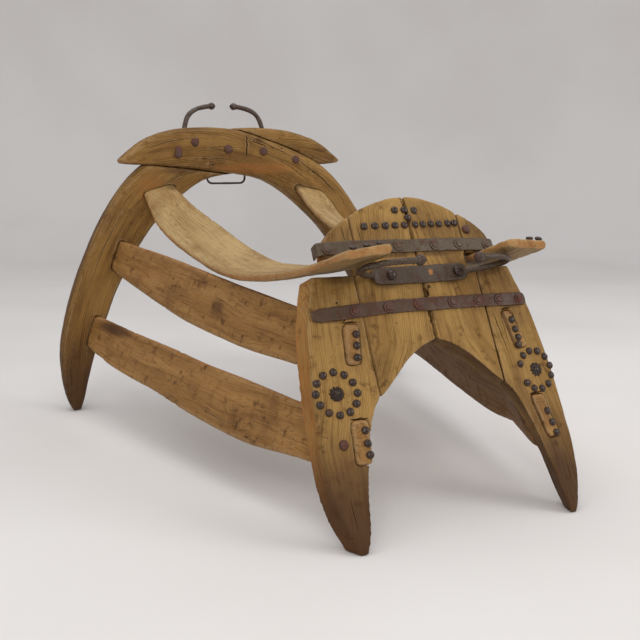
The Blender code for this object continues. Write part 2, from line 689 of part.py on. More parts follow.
def build_staple(name, axis_point, across, standoff):
    """A wire staple round the loop's top bar, with its legs in the timber; returns its holes."""
    radius = STAPLE_BEND_RADIUS
    inside = -standoff - STAPLE_DEPTH
    centre = axis_point + Vector((across, 0.0, 0.0))
    points = [centre + Vector((0.0, inside, -radius)), centre + Vector((0.0, -standoff, -radius))]
    for step in range(7):
        angle = math.pi * (-0.5 + step / 6.0)
        points.append(centre + Vector((0.0, radius * math.cos(angle), radius * math.sin(angle))))
    points += [centre + Vector((0.0, -standoff, radius)), centre + Vector((0.0, inside, radius))]
    sideways = Vector((1.0, 0.0, 0.0))
    stations = round_stations(points, [STAPLE_WIRE_RADIUS] * len(points), sideways, Vector((0.0, 0.0, 1.0)))
    add_piece(name, loft(stations), "iron")
    deeper = Vector((0.0, -GAP * 2.0, 0.0))
    stations[0].centre = stations[0].centre + deeper
    stations[-1].centre = stations[-1].centre + deeper
    return add_cutter(name + " holes", loft(stations, GAP))


# ---------------------------------------------------------------- assembly
def add_seat_boards(planks, timbers):
    """Seat boards let into the rear timbers and the front arch's side notches."""
    for side_name, side in (("left", -1.0), ("right", 1.0)):
        stations = build_seat_board("seat_board_" + side_name, side)
        pocket = [push_back(stations[0])] + stations[1:5]
        cut(timbers[side_name], add_cutter("seat pocket " + side_name, loft(pocket, GAP * 2.0)))
        notch = add_cutter("seat notch " + side_name, loft(stations[NOTCH_START:], GAP))
        for part in ("centre", "crown", "leg"):
            cut(planks[part + " " + side_name], notch)


def push_back(station):
    """The same section a little deeper into the rear timber."""
    centre = station.centre + Vector((0.0, GAP * 3.0, 0.0))
    return Station(centre, station.width, station.depth, station.square)


def add_side_boards(planks, timbers):
    """Mid and lower boards: rear ends in pockets, front ends as through-tenons."""
    for level, rows in (("mid", MID_BOARD), ("lower", LOWER_BOARD)):
        for side_name, side in (("left", -1.0), ("right", 1.0)):
            rear_end, tenon_end = build_side_board(level, side_name, side, rows)
            pocket = [push_back(rear_end[0])] + rear_end[1:]
            label = "%s board %s" % (level, side_name)
            cut(timbers[side_name], add_cutter(label + " pocket", loft(pocket, GAP * 2.0)))
            cut(planks["leg " + side_name], add_cutter(label + " mortise", loft(tenon_end, GAP)))


def plank_under(across):
    """Name of the plank below a point of the lower strap."""
    part = "leg" if abs(across) > SEAM_ACROSS else "centre"
    return part + (" left" if across < 0.0 else " right")


def crown_under(across):
    """Name of the plank below a point of the upper strap."""
    part = "crown" if abs(across) > CROWN_SEAM_ACROSS else "centre"
    return part + (" left" if across < 0.0 else " right")


def add_front_nails(planks, upper_strap, lower_strap, front_hook):
    """Rivets through the straps, nails through the hook plate, bosses and two big nails."""
    strap_face = GAP * 2.0 + STRAP_THICKNESS
    for number, (across, up) in enumerate(UPPER_RIVETS, 1):
        place = front_point(across, up, strap_face)
        outward = front_axes(math.copysign(1.0, across))[2]
        targets = [upper_strap, planks[crown_under(across)]]
        drive_nail("upper_rivet_%d" % number, place, outward, targets, RIVET, "rust")
    for number, (across, up) in enumerate(LOWER_RIVETS, 1):
        place = front_point(across, up, strap_face)
        outward = front_axes(math.copysign(1.0, across))[2]
        targets = [lower_strap, planks[plank_under(across)]]
        drive_nail("lower_rivet_%d" % number, place, outward, targets, RIVET, "rust")
    plate_face = GAP * 2.0 + PLATE_THICKNESS
    for number, (across, up) in enumerate(HOOK_PLATE_NAILS, 1):
        place = front_point(across, up, plate_face)
        outward = front_axes(math.copysign(1.0, across))[2]
        targets = [front_hook, planks["centre" + (" left" if across < 0.0 else " right")]]
        drive_nail("hook_nail_%d" % number, place, outward, targets, PLATE_NAIL)
    for side_name, side in (("left", -1.0), ("right", 1.0)):
        place = front_point(side * ROSETTE_CENTRE[0], ROSETTE_CENTRE[1], 0.0)
        targets = [planks["leg " + side_name]]
        drive_nail("rosette_boss_" + side_name, place, front_axes(side)[2], targets, BOSS)
    for number, (plank_name, across, up) in enumerate(BIG_NAILS, 1):
        place = front_point(across, up, 0.0)
        outward = front_axes(math.copysign(1.0, across))[2]
        drive_nail("big_nail_%d" % number, place, outward, [planks[plank_name]], BIG_NAIL, "rust")


def add_rear_nails(near_timber, far_timber, rear_hook, far_back):
    """Nails through the lap from the front, and through the hook plate from the back."""
    for number, (across, up) in enumerate(LAP_NAILS, 1):
        place = rear_point(across, up, -GAP)
        targets = [near_timber, far_timber]
        drive_nail("lap_nail_%d" % number, place, rear_normal(across, up), targets, LAP_NAIL, "rust")
    for number, (across, up) in enumerate(REAR_PLATE_NAILS, 1):
        place = rear_point(across, up, far_back + GAP * 2.0 + PLATE_THICKNESS)
        targets = [rear_hook, far_timber]
        drive_nail("rear_plate_nail_%d" % number, place, -rear_normal(across, up), targets, REAR_PLATE_NAIL)


def make_floor_cutter():
    """Block below the ground that the feet are sawn off level with."""
    builder = bmesh.new()
    bmesh.ops.create_cube(builder, size=1.0)
    bmesh.ops.scale(builder, vec=(1.6, 1.6, 0.4), verts=builder.verts)
    bmesh.ops.translate(builder, vec=(0.0, 0.4, -0.2), verts=builder.verts)
    return add_cutter("floor", finish_mesh(builder))


def centre_on_origin():
    """Move everything so that the origin is at the middle of the base."""
    depsgraph = bpy.context.evaluated_depsgraph_get()
    corners = []
    for piece in part_collection.objects:
        evaluated = piece.evaluated_get(depsgraph)
        corners += [evaluated.matrix_world @ Vector(corner) for corner in evaluated.bound_box]
    low = Vector([min(corner[axis] for corner in corners) for axis in range(3)])
    high = Vector([max(corner[axis] for corner in corners) for axis in range(3)])
    shift = Vector(((low.x + high.x) * 0.5, (low.y + high.y) * 0.5, low.z))
    for item in list(part_collection.objects) + list(cutter_collection.objects):
        item.location = item.location - shift
    print("shift", tuple(round(value, 5) for value in shift))
    print("size", tuple(round(value, 4) for value in high - low))
    return shift


def main():
    """Build the saddle rack."""
    global part_collection, cutter_collection
    clear_scene()
    part_collection = make_collection("saddle_rack")
    cutter_collection = make_collection("cutters")
    floor_cutter = make_floor_cutter()
    planks = build_front_arch(floor_cutter)
    near_timber, far_timber = build_rear_arch(floor_cutter)
    timbers = {"left": far_timber, "right": near_timber}
    add_seat_boards(planks, timbers)
    add_side_boards(planks, timbers)
    upper_strap, lower_strap = build_straps()
    front_hook = build_front_hook()
    far_back = FAR_TIMBER_SETBACK + TIMBER_THICKNESS
    rear_hook = build_rear_hook(far_back)
    staple_holes, axis_point = build_loop(far_back)
    for holes in staple_holes:
        cut(far_timber, holes)
    add_front_nails(planks, upper_strap, lower_strap, front_hook)
    add_rear_nails(near_timber, far_timber, rear_hook, far_back)
    shift = centre_on_origin()
    print("loop axis", tuple(round(value, 5) for value in axis_point - shift))


main()
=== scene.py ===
"""Looks of the saddle rack: worn planks and bent timbers with hand-made ironwork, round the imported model.

Lengths are in metres, +Z is up and the front arch stands towards -Y.
"""
import sys

import itertools
import logging
import math
from dataclasses import dataclass
from enum import Enum
from typing import Any, Iterable, Optional, Sequence

import bmesh
import bpy
import numpy as np
from mathutils import Matrix, Vector
from mathutils.bvhtree import BVHTree


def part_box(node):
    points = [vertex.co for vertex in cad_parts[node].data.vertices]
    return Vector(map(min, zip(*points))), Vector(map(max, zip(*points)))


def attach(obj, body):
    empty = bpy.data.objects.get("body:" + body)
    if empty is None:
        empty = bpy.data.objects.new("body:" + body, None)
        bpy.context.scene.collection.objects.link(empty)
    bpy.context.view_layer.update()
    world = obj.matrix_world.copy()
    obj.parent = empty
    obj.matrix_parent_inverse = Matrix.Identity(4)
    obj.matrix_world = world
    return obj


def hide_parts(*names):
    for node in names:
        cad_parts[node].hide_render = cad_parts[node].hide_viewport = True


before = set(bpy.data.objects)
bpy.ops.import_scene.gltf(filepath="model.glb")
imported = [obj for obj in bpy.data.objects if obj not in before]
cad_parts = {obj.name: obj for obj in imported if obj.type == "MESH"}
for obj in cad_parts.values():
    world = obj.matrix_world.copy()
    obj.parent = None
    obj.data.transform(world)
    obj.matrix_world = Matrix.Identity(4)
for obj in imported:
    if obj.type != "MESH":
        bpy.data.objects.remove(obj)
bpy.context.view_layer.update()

Colour = tuple[float, float, float]
Array = np.ndarray
Place = tuple[float, float]
Ring = list[bmesh.types.BMVert]

LOG = logging.getLogger("saddle_rack")
TREE = "tree"
LOOP = "loop"
FEWEST_FACES = 100
MARK_DEPTH = 0.006
SHARP_ANGLE = math.radians(52.0)
SIDES = (("left", -1.0), ("right", 1.0))


class GrainRun(Enum):
    """Which way the grain of a piece of wood runs."""

    UP_THE_FACE = "up the face"
    ALONG_THE_BOARD = "along the board"
    ROUND_THE_BEND = "round the bend"


class WoodKind(Enum):
    """The four sorts of wood surface on the rack."""

    FRONT = "front_wood"
    REAR = "rear_wood"
    SEAT = "seat_wood"
    SIDE = "side_wood"


class IronKind(Enum):
    """The sorts of iron surface on the rack."""

    UPPER_STRAP = "upper_strap_iron"
    LOWER_STRAP = "lower_strap_iron"
    PLATE = "plate_iron"
    ROD = "rod_iron"
    NAIL = "nail_iron"
    RIVET = "rivet_iron"
    FAINT_RIVET = "faint_rivet_iron"


# ---------------------------------------------------------------- the faces of the two arches
@dataclass(frozen=True)
class FrontFace:
    """The front arch's face: leaning back, with its two halves folded back from the middle."""

    lean: float = math.radians(27.1)
    fold: float = math.radians(6.4)
    setback: float = 0.41453

    def axes(self, side: float) -> tuple[Vector, Vector, Vector]:
        """Directions of one half of the face.

        Args:
            side: -1 for the left half, 1 for the right half.

        Returns:
            The across, up and outward directions.
        """
        across = Vector((side * math.cos(self.fold), math.sin(self.fold), 0.0))
        up = Vector((0.0, math.sin(self.lean), math.cos(self.lean)))
        out = across.cross(up).normalized()
        if out.y > 0.0:
            out.negate()
        return across, up, out

    def point(self, across: float, up: float, out: float = 0.0) -> Vector:
        """A point on the face, or off it by a distance out."""
        along, rise, normal = self.axes(math.copysign(1.0, across))
        return along * abs(across) + rise * up + normal * out - Vector((0.0, self.setback, 0.0))

    def outward(self, across: float) -> Vector:
        """The outward direction of the half that holds this distance across."""
        return self.axes(math.copysign(1.0, across))[2]


@dataclass(frozen=True)
class RearFace:
    """The rear arch's front face, which bows forward towards the feet."""

    spacing: float = 0.72
    lean: float = math.radians(3.8)
    bow: float = 0.087
    bow_flat: float = 0.06
    setback: float = 0.41453
    far_back: float = 0.046

    def point(self, across: float, up: float, back: float = 0.0) -> Vector:
        """A point on the face, or behind it by a distance back.

        Args:
            across: Distance from the middle.
            up: Height measured along the face.
            back: Distance behind the face.

        Returns:
            The place in metres.
        """
        bowed = self.bow * (math.hypot(across, self.bow_flat) - self.bow_flat)
        depth = self.spacing + up * math.sin(self.lean) - bowed + back - self.setback
        return Vector((across, depth, up * math.cos(self.lean)))

    def outward(self, across: float, up: float) -> Vector:
        """The forward direction of the face at a point.

        Args:
            across: Distance from the middle.
            up: Height measured along the face.

        Returns:
            A direction of length 1.
        """
        sideways = self.point(across + 0.001, up) - self.point(across - 0.001, up)
        upwards = self.point(across, up + 0.001) - self.point(across, up - 0.001)
        return sideways.cross(upwards).normalized()


FRONT = FrontFace()
REAR = RearFace()


# ---------------------------------------------------------------- repeatable noise on mesh points
class Noise:
    """Smooth repeatable noise between -1 and 1 at points in space."""

    SIZE = 1 << 16
    STRIDES = np.array((73856093, 19349663, 83492791))

    def __init__(self, seed: int) -> None:
        """Draws the lattice values for one seed."""
        self.values = np.random.default_rng(seed).uniform(-1.0, 1.0, self.SIZE)

    def at(self, points: Array, scale: Sequence[float]) -> Array:
        """Noise values at points.

        Args:
            points: Points as rows of three.
            scale: Lattice cells per metre along each axis.

        Returns:
            One value for each point.
        """
        spread = points * np.asarray(scale)
        cell = np.floor(spread).astype(np.int64)
        part = spread - cell
        part = part * part * (3.0 - 2.0 * part)
        total = np.zeros(len(points))
        for corner in itertools.product((0, 1), repeat=3):
            index = ((cell + corner) * self.STRIDES).sum(axis=1) % self.SIZE
            weight = np.where(corner, part, 1.0 - part).prod(axis=1)
            total += weight * self.values[index]
        return total


def smooth_step(values: Array, low: float, high: float) -> Array:
    """A soft step from 0 at low to 1 at high."""
    part = np.clip((values - low) / (high - low), 0.0, 1.0)
    return part * part * (3.0 - 2.0 * part)


# ---------------------------------------------------------------- finishes
class FinishGraph:
    """The node graph of one finish."""

    def __init__(self, name: str) -> None:
        """Starts a material with its Principled shader.

        Args:
            name: The material's name.
        """
        self.material = bpy.data.materials.new(name)
        self.material.use_nodes = True
        self.tree = self.material.node_tree
        self.shader = self.tree.nodes["Principled BSDF"]

    def node(self, kind: str, settings: Optional[dict[str, Any]] = None, **inputs: Any) -> bpy.types.Node:
        """Adds a node.

        Args:
            kind: The node's type name.
            settings: Properties to set on the node.
            inputs: Links or values by input name, with _ for a space, or by number as in i0.

        Returns:
            The new node.
        """
        made = self.tree.nodes.new(kind)
        for key, value in (settings or {}).items():
            setattr(made, key, value)
        for key, value in inputs.items():
            numbered = key[0] == "i" and key[1:].isdigit()
            self._give(made.inputs[int(key[1:])] if numbered else made.inputs[key.replace("_", " ")], value)
        return made

    def _give(self, target: bpy.types.NodeSocket, value: Any) -> None:
        """Links a socket to an input, or sets a plain value on it.

        Args:
            target: The input.
            value: A socket or a plain value.
        """
        if isinstance(value, bpy.types.NodeSocket):
            self.tree.links.new(value, target)
        else:
            target.default_value = value

    def place(self) -> bpy.types.NodeSocket:
        """Position on the piece, in metres."""
        return self.node("ShaderNodeTexCoord").outputs["Object"]

    def mask(self, name: str) -> bpy.types.NodeSocket:
        """A number that the piece's mesh carries."""
        return self.node("ShaderNodeAttribute", {"attribute_name": name}).outputs["Fac"]

    def grain(self) -> bpy.types.NodeSocket:
        """Position along, across and into the grain, in metres."""
        return self.node("ShaderNodeAttribute", {"attribute_name": "grain"}).outputs["Vector"]

    def vector(self, operation: str, first: Any, second: Any) -> bpy.types.NodeSocket:
        """A vector sum, product or the like."""
        return self.node("ShaderNodeVectorMath", {"operation": operation}, i0=first, i1=second).outputs[0]

    def number(self, operation: str, first: Any, second: Any = 0.0) -> bpy.types.NodeSocket:
        """A sum, product or the like of two numbers."""
        return self.node("ShaderNodeMath", {"operation": operation}, i0=first, i1=second).outputs[0]

    def plus(self, first: Any, second: Any) -> bpy.types.NodeSocket:
        """The sum of two numbers."""
        return self.number("ADD", first, second)

    def minus(self, first: Any, second: Any) -> bpy.types.NodeSocket:
        """The first number less the second."""
        return self.number("SUBTRACT", first, second)

    def times(self, first: Any, second: Any) -> bpy.types.NodeSocket:
        """The product of two numbers."""
        return self.number("MULTIPLY", first, second)

    def noise(self, where: Any, scale: Sequence[float], detail: float = 2.0, roughness: float = 0.5,
              output: str = "Fac") -> bpy.types.NodeSocket:
        """Noise with its own scale along each axis.

        Args:
            where: The position socket.
            scale: Waves per metre along each axis.
            detail: Layers of finer noise.
            roughness: Strength of the finer layers.
            output: Which output to give back.

        Returns:
            The noise socket.
        """
        stretched = self.vector("MULTIPLY", where, tuple(scale))
        made = self.node("ShaderNodeTexNoise", None, Vector=stretched, Scale=1.0, Detail=detail,
                         Roughness=roughness)
        return made.outputs[output]

    def step(self, value: Any, low: float, high: float, top: float = 1.0) -> bpy.types.NodeSocket:
        """A soft step from 0 at low to top at high.

        Args:
            value: What is compared.
            low: Where the step starts.
            high: Where it ends.
            top: Its height.

        Returns:
            The stepped value.
        """
        made = self.node("ShaderNodeMapRange", {"interpolation_type": "SMOOTHSTEP"}, Value=value,
                         From_Min=low, From_Max=high, To_Min=0.0, To_Max=top)
        return made.outputs[0]

    def mix(self, factor: Any, first: Any, second: Any, blend: str = "MIX") -> bpy.types.NodeSocket:
        """A blend of two colours.

        Args:
            factor: How much of the second colour shows.
            first: The colour below.
            second: The colour on top.
            blend: How the two are blended.

        Returns:
            The blended colour.
        """
        def full(value: Any) -> Any:
            """Adds the fourth channel to a plain colour."""
            return (*value, 1.0) if isinstance(value, tuple) else value

        settings = {"data_type": "RGBA", "blend_type": blend}
        return self.node("ShaderNodeMix", settings, i0=factor, i6=full(first), i7=full(second)).outputs[2]

    def attach(self, **inputs: Any) -> None:
        """Links or sets inputs of the shader."""
        for key, value in inputs.items():
            self._give(self.shader.inputs[key.replace("_", " ")], value)

    def relief(self, height: Any, distance: float, strength: float) -> None:
        """Gives the shader a bump from a height."""
        bump = self.node("ShaderNodeBump", None, Height=height, Distance=distance, Strength=strength)
        self.attach(Normal=bump.outputs["Normal"])


@dataclass(frozen=True)
class WoodFinish:
    """Old bare wood: its colours, how strongly each mark shows and how polished it is."""

    kind: WoodKind
    pale: Colour
    base: Colour
    brown: Colour
    amber: Colour = (0.36, 0.13, 0.030)
    # The dark colour of dirt, also used for painted shade in hollows, cuts, undersides and inner faces.
    soil_and_shade: Colour = (0.058, 0.023, 0.008)
    edge: Colour = (0.38, 0.25, 0.12)
    line_spacing: float = 0.0023
    line_strength: float = 0.28
    streak_strength: float = 0.6
    grime_strength: float = 0.5
    edge_strength: float = 0.5
    waviness: float = 0.008
    polish: float = 0.66

    DRIFT = (6.0, 15.0, 15.0)
    BROAD = (3.0, 42.0, 42.0)
    STREAK = (8.0, 210.0, 210.0)
    FIBRE = (34.0, 1150.0, 1150.0)
    BLOTCH = (16.0, 16.0, 16.0)
    GRIME = (75.0, 75.0, 75.0)
    BEND = (2.6, 24.0, 24.0)
    LINE_PATCH = (5.0, 60.0, 60.0)
    CHECK = (7.0, 115.0, 115.0)
    CHECK_PATCH = (19.0, 19.0, 19.0)
    BEND_TURNS = 9.0
    GAP_COLOUR = (0.018, 0.009, 0.004)
    SPECULAR = 0.2
    RELIEF_DEPTH = 0.0011
    RELIEF_STRENGTH = 0.85

    def material(self) -> bpy.types.Material:
        """Builds the wood's material."""
        graph = FinishGraph(self.kind.value)
        grain = graph.grain()
        place = graph.place()
        drift = graph.noise(grain, self.DRIFT, 2.0, output="Color")
        drift = graph.vector("SUBTRACT", drift, (0.5, 0.5, 0.5))
        drift = graph.vector("MULTIPLY", drift, (0.0, self.waviness, self.waviness))
        wavy = graph.vector("ADD", grain, drift)
        broad = graph.noise(wavy, self.BROAD, 2.0)
        streak = graph.noise(wavy, self.STREAK, 3.0, 0.62)
        fibre = graph.noise(wavy, self.FIBRE, 2.0, 0.6)
        blotch = graph.noise(place, self.BLOTCH, 4.0, 0.6)
        grime = graph.noise(place, self.GRIME, 5.0, 0.68)
        lines = self._growth_lines(graph, wavy)
        checks = self._checks(graph, wavy, place)
        colour = graph.mix(graph.step(broad, 0.32, 0.68), self.base, self.pale)
        for pattern, low, high, strength, tint in ((blotch, 0.48, 0.74, 0.65, self.brown),
                                                   (streak, 0.5, 0.72, self.streak_strength, self.brown)):
            colour = graph.mix(graph.step(pattern, low, high, strength), colour, tint)
        colour = graph.mix(graph.times(lines, self.line_strength), colour, self.brown, "MULTIPLY")
        for pattern, low, high, strength, tint in ((fibre, 0.42, 0.75, 0.42, self.soil_and_shade),
                                                   (fibre, 0.45, 0.2, 0.22, self.edge),
                                                   (grime, 0.54, 0.72, self.grime_strength, self.soil_and_shade)):
            colour = graph.mix(graph.step(pattern, low, high, strength), colour, tint)
        wear_and_hollow_shade = graph.mask("wear_and_hollow_shade")
        rubbed = graph.times(graph.step(wear_and_hollow_shade, 0.12, 0.62, self.edge_strength), graph.step(grime, 0.68, 0.42))
        colour = graph.mix(rubbed, colour, self.edge)
        colour = self._masked(graph, colour, "amber", self.amber, streak, 0.8)
        colour = self._masked(graph, colour, "dust", self.pale, grime, 0.75)
        # Dirt stains and painted shade, from the mesh's mask.
        colour = self._masked(graph, colour, "soil_and_shade", self.soil_and_shade, broad, 0.92)
        # Painted shade in hollows and cracks, where the surface dips.
        colour = graph.mix(graph.step(wear_and_hollow_shade, -0.12, -0.6, 0.8), colour, self.soil_and_shade)
        colour = graph.mix(checks, colour, self.GAP_COLOUR)
        graph.attach(Base_Color=colour, Specular_IOR_Level=self.SPECULAR)
        graph.attach(Roughness=self._roughness(graph, streak, grime))
        height = graph.times(streak, -0.55)
        height = graph.plus(height, graph.times(fibre, -0.42))
        for pattern, share in ((lines, 0.30), (checks, 1.4), (grime, 0.35)):
            height = graph.minus(height, graph.times(pattern, share))
        graph.relief(height, self.RELIEF_DEPTH, self.RELIEF_STRENGTH)
        return graph.material

    def _growth_lines(self, graph: FinishGraph, wavy: bpy.types.NodeSocket) -> bpy.types.NodeSocket:
        """Thin dark lines side by side along the grain, stronger in some places than in others.

        Args:
            graph: The material in the making.
            wavy: Place along and across the bent grain.

        Returns:
            The lines' strength.
        """
        across = graph.node("ShaderNodeSeparateXYZ", None, Vector=wavy)
        bend = graph.noise(wavy, self.BEND, 2.0)
        count = graph.times(across.outputs[1], 1.0 / self.line_spacing)
        turn = graph.times(graph.plus(count, graph.times(bend, self.BEND_TURNS)), math.tau)
        wave = graph.number("SINE", turn)
        patch = graph.step(graph.noise(wavy, self.LINE_PATCH, 2.0), 0.36, 0.6)
        return graph.times(graph.step(wave, 0.15, 0.95), patch)

    def _checks(self, graph: FinishGraph, wavy: bpy.types.NodeSocket,
                place: bpy.types.NodeSocket) -> bpy.types.NodeSocket:
        """Fine drying cracks that follow the grain.

        Args:
            graph: The material in the making.
            wavy: Place along and across the bent grain.
            place: Place along and across the grain.

        Returns:
            The cracks' strength.
        """
        ridge = graph.number("ABSOLUTE", graph.minus(graph.noise(wavy, self.CHECK, 2.0), 0.5))
        patch = graph.step(graph.noise(place, self.CHECK_PATCH, 2.0), 0.56, 0.70)
        return graph.times(graph.step(ridge, 0.009, 0.002, 0.6), patch)

    def _masked(self, graph: FinishGraph, colour: Any, mask: str, tint: Colour, broken: Any,
                strength: float) -> bpy.types.NodeSocket:
        """A tint where the mesh says so, with an uneven border.

        Args:
            graph: The material in the making.
            colour: The colour below.
            mask: The tint's name.
            tint: The tint's colour.
            broken: What breaks its border up.
            strength: How much of it shows.

        Returns:
            The tinted colour.
        """
        amount = graph.plus(graph.mask(mask), graph.times(graph.minus(broken, 0.5), 0.7))
        present = graph.step(graph.mask(mask), 0.0, 0.12)
        amount = graph.times(graph.step(amount, 0.12, 0.95, strength), present)
        return graph.mix(amount, colour, tint)

    def _roughness(self, graph: FinishGraph, streak: Any, grime: Any) -> bpy.types.NodeSocket:
        """Polished where rubbed, dull in the pores.

        Args:
            graph: The material in the making.
            streak: The soft streaks.
            grime: The grime.

        Returns:
            The roughness.
        """
        worn = graph.times(graph.step(streak, 0.35, 0.7), 0.16)
        dull = graph.times(graph.step(grime, 0.45, 0.7), 0.14)
        return graph.plus(graph.plus(worn, dull), self.polish - 0.1)


@dataclass(frozen=True)
class IronFinish:
    """Old hand-forged iron with patches of rust."""

    kind: IronKind
    base: Colour
    rust: Colour
    bare: Colour = (0.20, 0.165, 0.13)
    rust_cover: float = 0.5
    shine: float = 0.46
    metal: float = 0.3
    spot: Optional[Vector] = None

    PATCH = (85.0, 85.0, 85.0)
    SCALE = (420.0, 420.0, 420.0)
    PITS = (1300.0, 1300.0, 1300.0)
    SCALE_COLOUR = (0.030, 0.022, 0.017)
    SPOT_COLOUR = (0.33, 0.13, 0.02)
    SPOT_EDGE = (0.0068, 0.0036)
    RELIEF_DEPTH = 0.0006
    RELIEF_STRENGTH = 0.75

    def material(self) -> bpy.types.Material:
        """Builds the iron's material."""
        graph = FinishGraph(self.kind.value)
        place = graph.place()
        patch = graph.noise(place, self.PATCH, 5.0, 0.65)
        scale = graph.noise(place, self.SCALE, 3.0, 0.6)
        pits = graph.noise(place, self.PITS, 2.0, 0.6)
        cover = 0.28 * self.rust_cover
        rusty = graph.step(patch, 0.62 - cover, 0.80 - cover, 0.9)
        colour = graph.mix(rusty, self.base, self.rust)
        colour = graph.mix(graph.step(scale, 0.46, 0.7, 0.6), colour, self.SCALE_COLOUR)
        wear_and_hollow_shade = graph.mask("wear_and_hollow_shade")
        rubbed = graph.times(graph.step(wear_and_hollow_shade, 0.08, 0.6, 0.55), graph.step(scale, 0.62, 0.4))
        colour = graph.mix(rubbed, colour, self.bare)
        colour = graph.mix(graph.step(pits, 0.62, 0.78, 0.35), colour, self.bare)
        colour = graph.mix(graph.mask("soil_and_shade"), colour, self.rust)
        if self.spot is not None:
            distance = graph.node("ShaderNodeVectorMath", {"operation": "DISTANCE"}, i0=place, i1=self.spot)
            near = graph.plus(distance.outputs["Value"], graph.times(scale, 0.004))
            colour = graph.mix(graph.step(near, *self.SPOT_EDGE, 0.85), colour, self.SPOT_COLOUR)
        graph.attach(Base_Color=colour, Metallic=self.metal, Specular_IOR_Level=0.4)
        rough = graph.plus(graph.times(rusty, 0.28), graph.times(scale, 0.16))
        graph.attach(Roughness=graph.plus(rough, self.shine - 0.08))
        height = graph.plus(graph.times(patch, 0.7), graph.times(scale, 0.45))
        height = graph.minus(height, graph.times(pits, 0.3))
        graph.relief(height, self.RELIEF_DEPTH, self.RELIEF_STRENGTH)
        return graph.material


@dataclass(frozen=True)
class BackdropFinish:
    """Pale plain cloth."""

    colour: Colour = (0.785, 0.762, 0.740)
    shade: Colour = (0.735, 0.705, 0.680)

    def material(self) -> bpy.types.Material:
        """Builds the backdrop's material."""
        graph = FinishGraph("pale_backdrop")
        place = graph.place()
        cloud = graph.noise(place, (1.2, 1.2, 1.2), 3.0)
        graph.attach(Base_Color=graph.mix(graph.step(cloud, 0.35, 0.7), self.colour, self.shade))
        graph.attach(Roughness=0.95, Specular_IOR_Level=0.1)
        graph.relief(graph.noise(place, (9.0, 2.5, 3.0), 2.0), 0.01, 0.25)
        return graph.material


WOOD_FINISHES = (
    WoodFinish(WoodKind.FRONT,
               pale=(0.38, 0.220, 0.062), base=(0.285, 0.155, 0.039), brown=(0.14, 0.066, 0.016),
               grime_strength=0.75, streak_strength=0.7),
    WoodFinish(WoodKind.REAR,
               pale=(0.30, 0.160, 0.040), base=(0.22, 0.110, 0.025), brown=(0.095, 0.040, 0.009),
               line_strength=0.5, line_spacing=0.0031, streak_strength=0.65, waviness=0.016,
               grime_strength=0.35),
    WoodFinish(WoodKind.SEAT,
               pale=(0.48, 0.33, 0.145), base=(0.39, 0.245, 0.096), brown=(0.24, 0.118, 0.035),
               line_strength=0.2, streak_strength=0.4, grime_strength=0.45, polish=0.6, waviness=0.006),
    WoodFinish(WoodKind.SIDE,
               pale=(0.39, 0.205, 0.064), base=(0.29, 0.142, 0.040), brown=(0.15, 0.064, 0.018),
               line_strength=0.2, streak_strength=0.6, grime_strength=0.85, waviness=0.022),
)
IRON_FINISHES = (
    IronFinish(IronKind.UPPER_STRAP,
               base=(0.086, 0.056, 0.030), rust=(0.080, 0.038, 0.018), rust_cover=0.35, metal=0.15,
               bare=(0.16, 0.115, 0.07)),
    IronFinish(IronKind.LOWER_STRAP,
               base=(0.070, 0.036, 0.017), rust=(0.085, 0.029, 0.013), rust_cover=0.65, metal=0.15,
               bare=(0.13, 0.08, 0.05)),
    IronFinish(IronKind.PLATE,
               base=(0.062, 0.040, 0.023), rust=(0.075, 0.033, 0.016), rust_cover=0.45, metal=0.25,
               bare=(0.14, 0.10, 0.07), spot=FRONT.point(0.010, 0.300, 0.0037)),
    IronFinish(IronKind.ROD,
               base=(0.062, 0.040, 0.031), rust=(0.080, 0.032, 0.019), rust_cover=0.5, shine=0.30),
    IronFinish(IronKind.NAIL,
               base=(0.036, 0.020, 0.013), rust=(0.062, 0.025, 0.013), rust_cover=0.4, shine=0.22,
               bare=(0.17, 0.12, 0.085), metal=0.2),
    IronFinish(IronKind.RIVET,
               base=(0.090, 0.040, 0.026), rust=(0.125, 0.038, 0.023), rust_cover=0.6, metal=0.25,
               bare=(0.15, 0.10, 0.075)),
    IronFinish(IronKind.FAINT_RIVET,
               base=(0.100, 0.066, 0.040), rust=(0.100, 0.045, 0.024), rust_cover=0.5,
               metal=0.2, bare=(0.15, 0.11, 0.075)),
)


class Finishes:
    """All the finishes, each built once."""

    def __init__(self) -> None:
        """Builds every material."""
        self.by_kind = {finish.kind: finish.material() for finish in WOOD_FINISHES + IRON_FINISHES}

    def dress(self, piece: bpy.types.Object, kind: Enum) -> None:
        """Gives a piece its finish."""
        piece.data.materials.clear()
        piece.data.materials.append(self.by_kind[kind])


# ---------------------------------------------------------------- mesh work
def made_mesh(builder: bmesh.types.BMesh, name: str) -> bpy.types.Mesh:
    """The mesh that a builder holds; the builder is used up.

    Args:
        builder: The mesh in the making.
        name: The new mesh's name.

    Returns:
        The new mesh.
    """
    mesh = bpy.data.meshes.new(name)
    builder.to_mesh(mesh)
    builder.free()
    return mesh


def skin(builder: bmesh.types.BMesh, loops: Sequence[Ring], closed: bool = False) -> None:
    """Faces between each ring of points and the next.

    Args:
        builder: The mesh in the making.
        loops: Rings of as many points each.
        closed: Whether the last ring is joined to the first.
    """
    following = [*loops[1:], loops[0]] if closed else loops[1:]
    for low, high in zip(loops, following):
        for side, corner in enumerate(low):
            after = (side + 1) % len(low)
            builder.faces.new((corner, low[after], high[after], high[side]))


def link(name: str, content: Any) -> bpy.types.Object:
    """A new object in the scene that shows a mesh, a light or a camera.

    Args:
        name: The new object's name.
        content: What it shows.

    Returns:
        The new object.
    """
    made = bpy.data.objects.new(name, content)
    bpy.context.scene.collection.objects.link(made)
    return made


def coordinates(mesh: bpy.types.Mesh) -> Array:
    """The mesh's points as rows of three.

    Args:
        mesh: Any mesh.

    Returns:
        One row for each point.
    """
    points = np.empty(len(mesh.vertices) * 3)
    mesh.vertices.foreach_get("co", points)
    return points.reshape(-1, 3)


